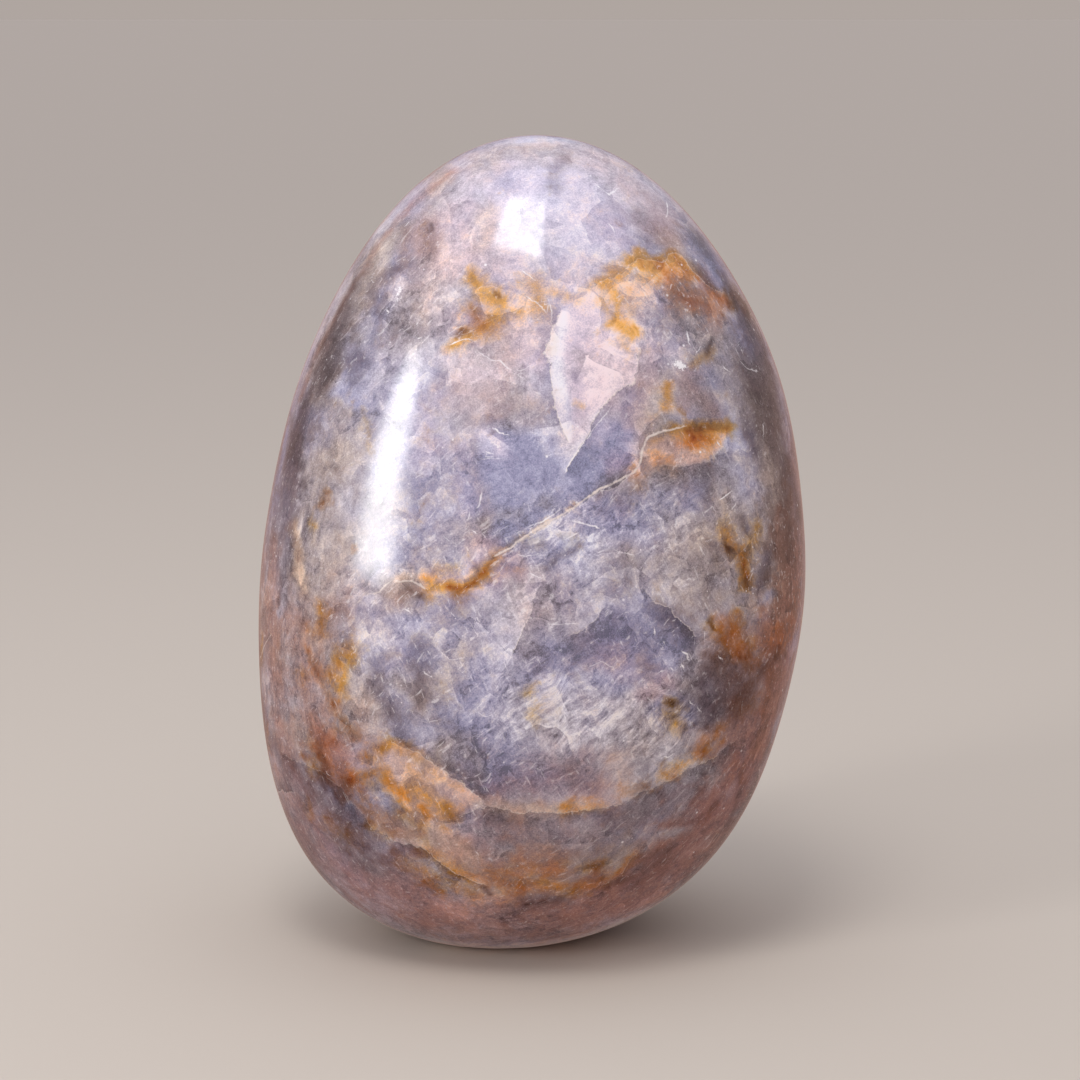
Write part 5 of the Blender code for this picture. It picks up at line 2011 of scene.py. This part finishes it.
BACK_PLATES = feature(
    "windows and plates of the back",
    far_washes(Field.MILK,
        (0.08, 6, 160, 60, 185, 66, 200, 70), (0.12, 5, 140, 30, 160, 26),
        (0.95, 5, 205, 42, 222, 36, 235, 44), (0.9, 4, 128, 68, 145, 74)),
    far_washes(Field.BLUE, (1.15, 7, 160, 60, 185, 66, 200, 70), (0.95, 6, 140, 30, 160, 26)),
    far_washes(Field.GRIT, (0.1, 5, 160, 60, 185, 66, 200, 70)),
    far_washes(Field.ROSE, (0.8, 5, 215, 40, 232, 46)),
    far_washes(Field.SMOKE,
        (0.85, 2, 182, 30, 190, 24, 205, 22), (0.7, 2.2, 116, 60, 126, 66, 119, 73),
        (0.9, 1.5, 238, 66, 246, 58, 250, 50)),
    far_washes(Field.OCHRE,
        (0.8, 1, 186, 20, 200, 17, 215, 18, 228, 22), (0.4, 1.6, 200, 16, 212, 16),
        (0.7, 1, 150, 76, 160, 79, 172, 78), (0.45, 0.9, 160, 79, 163, 72)),
    far_washes(Field.RUST, (0.4, 1, 222, 20, 232, 24)),
    far_washes(Field.TAN, (0.9, 3, 152, 76, 172, 76)),
    far_seams(Seam.EDGE,
        (0.8, 0.6, 228, 20, 214, 16, 198, 15, 182, 19, 168, 21, 150, 19),
        (0.8, 0.5, 136, 80, 128, 72, 130, 62, 140, 56), (0.6, 0.5, 200, 30, 212, 33, 226, 31, 240, 35)),
    far_seams(Seam.WISP,
        (0.8, 0.5, 170, 34, 176, 37, 184, 38), (0.7, 0.4, 150, 66, 156, 69, 160, 68),
        (0.9, 0.6, 208, 72, 212, 69, 214, 65)),
)

LEFT_SIDE = feature(
    "left side",
    far_washes(Field.MILK,
        (0.15, 4.5, 284, 64, 276, 56), (0.85, 4, 266, 70, 258, 60), (0.75, 1.6, 288, 22, 278, 18, 264, 18)),
    far_washes(Field.BLUE, (1, 5, 284, 64, 274, 56)),
    far_washes(Field.GRIT, (0.9, 5, 280, 48, 262, 44)),
    far_washes(Field.TAN, (0.7, 5, 286, 40, 268, 36)),
    far_washes(Field.SMOKE, (0.9, 1.6, 290, 66, 285, 58, 284, 50)),
    far_washes(Field.OCHRE,
        (0.8, 1, 283, 36, 277, 33, 270, 34, 262, 30), (0.6, 0.9, 270, 34, 267, 40, 262, 44)),
    far_washes(Field.RUST, (0.5, 0.9, 284, 26, 276, 22, 268, 22)),
    far_washes(Field.CREAM, (0.4, 1, 280, 19, 268, 18)),
    far_seams(Seam.EDGE, (0.7, 0.6, 262, 16, 274, 17, 285, 19, 294, 20)),
    far_seams(Seam.CRACK, (0.6, 0.5, 290, 38, 282, 35, 275, 33, 266, 33, 258, 29)),
)

RIGHT_SIDE = feature(
    "right side",
    far_washes(Field.MILK,
        (0.55, 5, 82, 66, 96, 58, 104, 64), (0.9, 3, 100, 44, 114, 38), (0.7, 1.4, 80, 18, 96, 15, 112, 17)),
    far_washes(Field.BLUE, (0.8, 5, 90, 62, 104, 60)),
    far_washes(Field.SMOKE, (1, 1.8, 70, 66, 76, 58, 80, 52), (0.8, 1.5, 96, 74, 102, 68)),
    far_washes(Field.GRIT, (0.9, 4.5, 95, 46, 112, 38)),
    far_washes(Field.OCHRE, (0.8, 1, 84, 38, 90, 34, 98, 33), (0.5, 0.9, 90, 34, 90, 27, 94, 22)),
    far_washes(Field.RUST, (0.55, 0.9, 104, 28, 112, 25, 118, 27)),
    far_seams(Seam.EDGE, (0.7, 0.6, 122, 19, 108, 15, 94, 14, 80, 17, 70, 22)),
    far_seams(Seam.CRACK, (0.6, 0.5, 78, 41, 86, 36, 94, 33, 104, 33, 114, 36)),
    far_seams(Seam.WISP, (0.8, 0.5, 98, 54, 104, 56, 108, 60)),
)

CROWN_ALL_ROUND = feature(
    "pale crown, all round",
    far_washes(Field.MILK, (0.8, 5, 90, 84, 130, 87, 180, 88, 230, 87, 270, 84)),
    far_washes(Field.BLUE, (0.6, 5, 100, 86, 180, 89, 260, 86)),
    far_washes(Field.ROSE, (0.6, 3.5, 120, 80, 150, 84)),
    far_washes(Field.SMOKE, (0.6, 1, 200, 86, 204, 80)),
    far_washes(Field.OCHRE, (0.3, 1.2, 236, 80, 246, 77)),
)

# Some of these are painted light and shade: the smoke and brown near the edges are painted shade and
# reflection of the rims, and the milk along the bottom edge is painted light on the shadowed underside.
TOUCHES = feature(
    "small clouds and stains",
    washes(Field.BLUE,
        (0.05, 3, 365, 275, 335, 330, 318, 380, 308, 430), (0.1, 2.5, 480, 160, 515, 148, 545, 148),
        (0.1, 1.8, 392, 586, 412, 584), (1.1, 1.5, 468, 484, 476, 494), (0.9, 1.6, 520, 540, 534, 546),
        (0.75, 2, 620, 528, 640, 534), (0.1, 2, 372, 700, 398, 688, 420, 694),
        (0.1, 1.8, 450, 758, 466, 764), (0.95, 1.3, 600, 516, 612, 522), (1.1, 1.5, 416, 508, 424, 518),
        (0.6, 1.4, 460, 758, 468, 764), (0.6, 1.4, 396, 694, 404, 700), (0.9, 2, 312, 420, 318, 432),
        (0.8, 1.6, 664, 708, 676, 714), (0.1, 1.5, 738, 298, 746, 306)),
    washes(Field.TAN,
        (0.8, 3, 365, 275, 335, 330, 318, 380, 308, 430), (0.45, 2.5, 480, 160, 515, 148, 545, 148),
        (0.9, 2, 672, 244, 690, 262), (0.85, 1.8, 680, 322, 706, 337), (1, 1.8, 738, 298, 750, 325),
        (0.85, 1.6, 690, 376, 695, 398, 712, 410), (0.9, 1.3, 652, 466, 668, 466),
        (0.85, 1.8, 392, 586, 412, 584), (0.05, 2, 620, 528, 640, 534), (0.3, 2, 342, 494, 345, 512),
        (0.7, 2, 372, 700, 398, 688, 420, 694), (0.8, 1.8, 450, 758, 466, 764),
        (1, 2.5, 778, 630, 776, 690, 762, 740), (0.8, 1.6, 694, 234, 704, 242),
        (0.4, 1.4, 620, 768, 622, 788), (0.75, 1.6, 416, 234, 428, 244), (0.2, 1.5, 416, 508, 424, 518),
        (0.3, 1.4, 460, 758, 468, 764), (0.3, 1.4, 396, 694, 404, 700), (0.85, 1.6, 738, 300, 748, 308),
        (0.2, 1.6, 664, 708, 676, 714), (0.85, 1.5, 738, 298, 746, 306)),
    washes(Field.SMOKE,
        (0.95, 1.4, 352, 290, 336, 325, 326, 362), (0.55, 1.5, 372, 336, 380, 346),
        (0.45, 1.3, 426, 232, 430, 248), (0.45, 1.5, 646, 196, 660, 204), (0.35, 1.3, 526, 147, 542, 148),
        (0.95, 1.6, 742, 318, 752, 338), (0.55, 1.8, 348, 852, 366, 862), (0.45, 1.5, 410, 840, 422, 846),
        (0, 2.2, 436, 944, 500, 952, 560, 948, 606, 938, 648, 926), (0.7, 1.3, 700, 240, 708, 252),
        (0.75, 2.2, 326, 790, 344, 806, 352, 835), (0.45, 1.1, 406, 598, 418, 604),
        (0.55, 1.4, 340, 618, 345, 628), (0.45, 1.4, 656, 206, 664, 214), (0.6, 1.3, 730, 328, 732, 340),
        (0.4, 1.3, 388, 748, 396, 752), (0.8, 1.8, 774, 388, 780, 404)),
    washes(Field.MILK,
        (0.35, 1.3, 426, 232, 430, 248), (0.8, 1.3, 578, 306, 592, 312), (1.1, 1, 520, 305, 530, 315),
        (0.95, 1.1, 404, 504, 407, 522), (1.15, 1, 550, 430, 561, 438), (0.12, 1.2, 497, 451, 511, 453),
        (0.25, 1.5, 468, 484, 476, 494), (0.12, 1.4, 492, 541, 508, 545), (0.95, 1.3, 620, 534, 635, 540),
        (0.95, 1.3, 582, 571, 596, 578), (0.7, 1.6, 622, 566, 636, 572), (0.7, 1.6, 634, 602, 650, 608),
        (0.65, 2.4, 590, 926, 622, 908, 648, 900), (0.6, 2.2, 632, 850, 652, 852),
        (0.85, 1.6, 700, 736, 716, 732), (0.8, 1.6, 532, 866, 552, 870),
        (1.1, 2.2, 436, 944, 500, 952, 560, 948, 606, 938, 648, 926), (1.15, 0.9, 432, 596, 442, 595),
        (0.25, 1.1, 600, 516, 612, 522), (0.75, 1.3, 724, 404, 732, 412), (1.3, 1, 630, 326, 638, 334),
        (1, 1.3, 590, 560, 616, 556), (1.25, 1.1, 368, 636, 376, 642), (0.6, 1.4, 340, 500, 344, 514),
        (0.15, 1.3, 700, 240, 708, 252), (0.55, 1.2, 428, 298, 434, 306), (0.95, 1.4, 620, 768, 622, 788),
        (1.4, 1, 608, 360, 613, 368), (1.15, 0.8, 574, 360, 580, 368),
        (0.25, 1.8, 332, 770, 340, 790, 346, 808), (0.35, 1.5, 336, 728, 346, 738),
        (1.1, 1.2, 644, 266, 658, 270), (0.3, 1.6, 664, 708, 676, 714), (0.85, 1.6, 700, 636, 716, 622),
        (0.8, 1.2, 732, 640, 736, 646), (0.8, 1.3, 690, 524, 696, 532), (0.5, 1.5, 462, 606, 472, 614),
        (0.95, 1, 490, 444, 498, 448), (0.85, 1.2, 738, 458, 744, 466), (0.8, 1, 666, 372, 672, 378),
        (0.9, 1.5, 450, 906, 462, 912), (0.85, 1.6, 690, 846, 704, 842), (0.9, 1.4, 562, 800, 574, 802)),
    washes(Field.OCHRE,
        (0.3, 0.8, 552, 294, 566, 299), (1.3, 1.2, 642, 261, 654, 264, 664, 262),
        (1.15, 1, 676, 260, 684, 268), (0.15, 1, 622, 342, 630, 350), (0.95, 0.9, 430, 592, 440, 592),
        (0.2, 0.9, 442, 573, 454, 570), (0.1, 1.2, 438, 808, 450, 816), (-0.05, 1, 444, 778, 456, 784),
        (0.15, 1, 310, 764, 322, 770), (0.6, 1, 440, 808, 450, 816), (0.35, 1, 410, 816, 420, 824),
        (1.3, 1.1, 646, 268, 656, 268)),
    washes(Field.ROSE,
        (0.7, 1.6, 690, 376, 695, 398, 712, 410), (0.05, 1.6, 510, 540, 534, 546),
        (0.8, 2.4, 778, 630, 776, 690, 762, 740), (0, 2, 348, 852, 366, 862), (0.9, 1.6, 416, 234, 428, 244),
        (0.6, 1.8, 674, 792, 686, 798)),
    washes(Field.RUST,
        (0.1, 0.9, 656, 464, 670, 466), (0.2, 1.1, 330, 768, 338, 780, 341, 790),
        (0.15, 1, 336, 728, 344, 738), (0.1, 1.2, 724, 632, 730, 642)),
    washes(Field.BROWN,
        (1.35, 2.4, 778, 630, 776, 690, 762, 740), (1.1, 1.8, 706, 736, 738, 730),
        (1, 2, 528, 862, 556, 864), (1.1, 1.8, 334, 768, 338, 784), (1.1, 1.6, 724, 630, 732, 644)),
)

ALL_ROUND = (BASE_SHADE_ALL_ROUND, CROWN_ALL_ROUND, BACK_PLATES, BACK_CRACK, LEFT_SIDE, RIGHT_SIDE)
FRONT = (
    CROWN, LEFT_SHOULDER, LEFT_COLUMN, PALE_MIDDLE, UPPER_VEIL, WEDGE, OCHRE_CREST, RIGHT_RIM_SHADE_AND_REFLECTION, WINDOW,
    SECOND_WINDOW, CRACK, LENS, BRIGHT_VEIL, GREY_FIELD, BLUE_FIELD, MOTTLED, STREAKED, DARK_CORNER, FOOT_AND_SHADE,
    PATCH, LOWER_BAND, LOWER_VEIN, TOUCHES,
)
FEATURES = ALL_ROUND + FRONT


def main() -> None:
    """Build the camera, the stone and the studio, in that order."""
    logging.basicConfig(level=logging.INFO, format="%(name)s: %(message)s")
    camera = StudioCamera()
    camera.make()
    LOG.info("camera at %s mm", np.round(camera.place, 1))
    stone = Stone().build(camera)
    LOG.info("%s: %d triangles", stone.name, len(stone.data.polygons))
    Studio().make()
    LOG.info("studio ready")


if __name__ == "__main__":
    main()
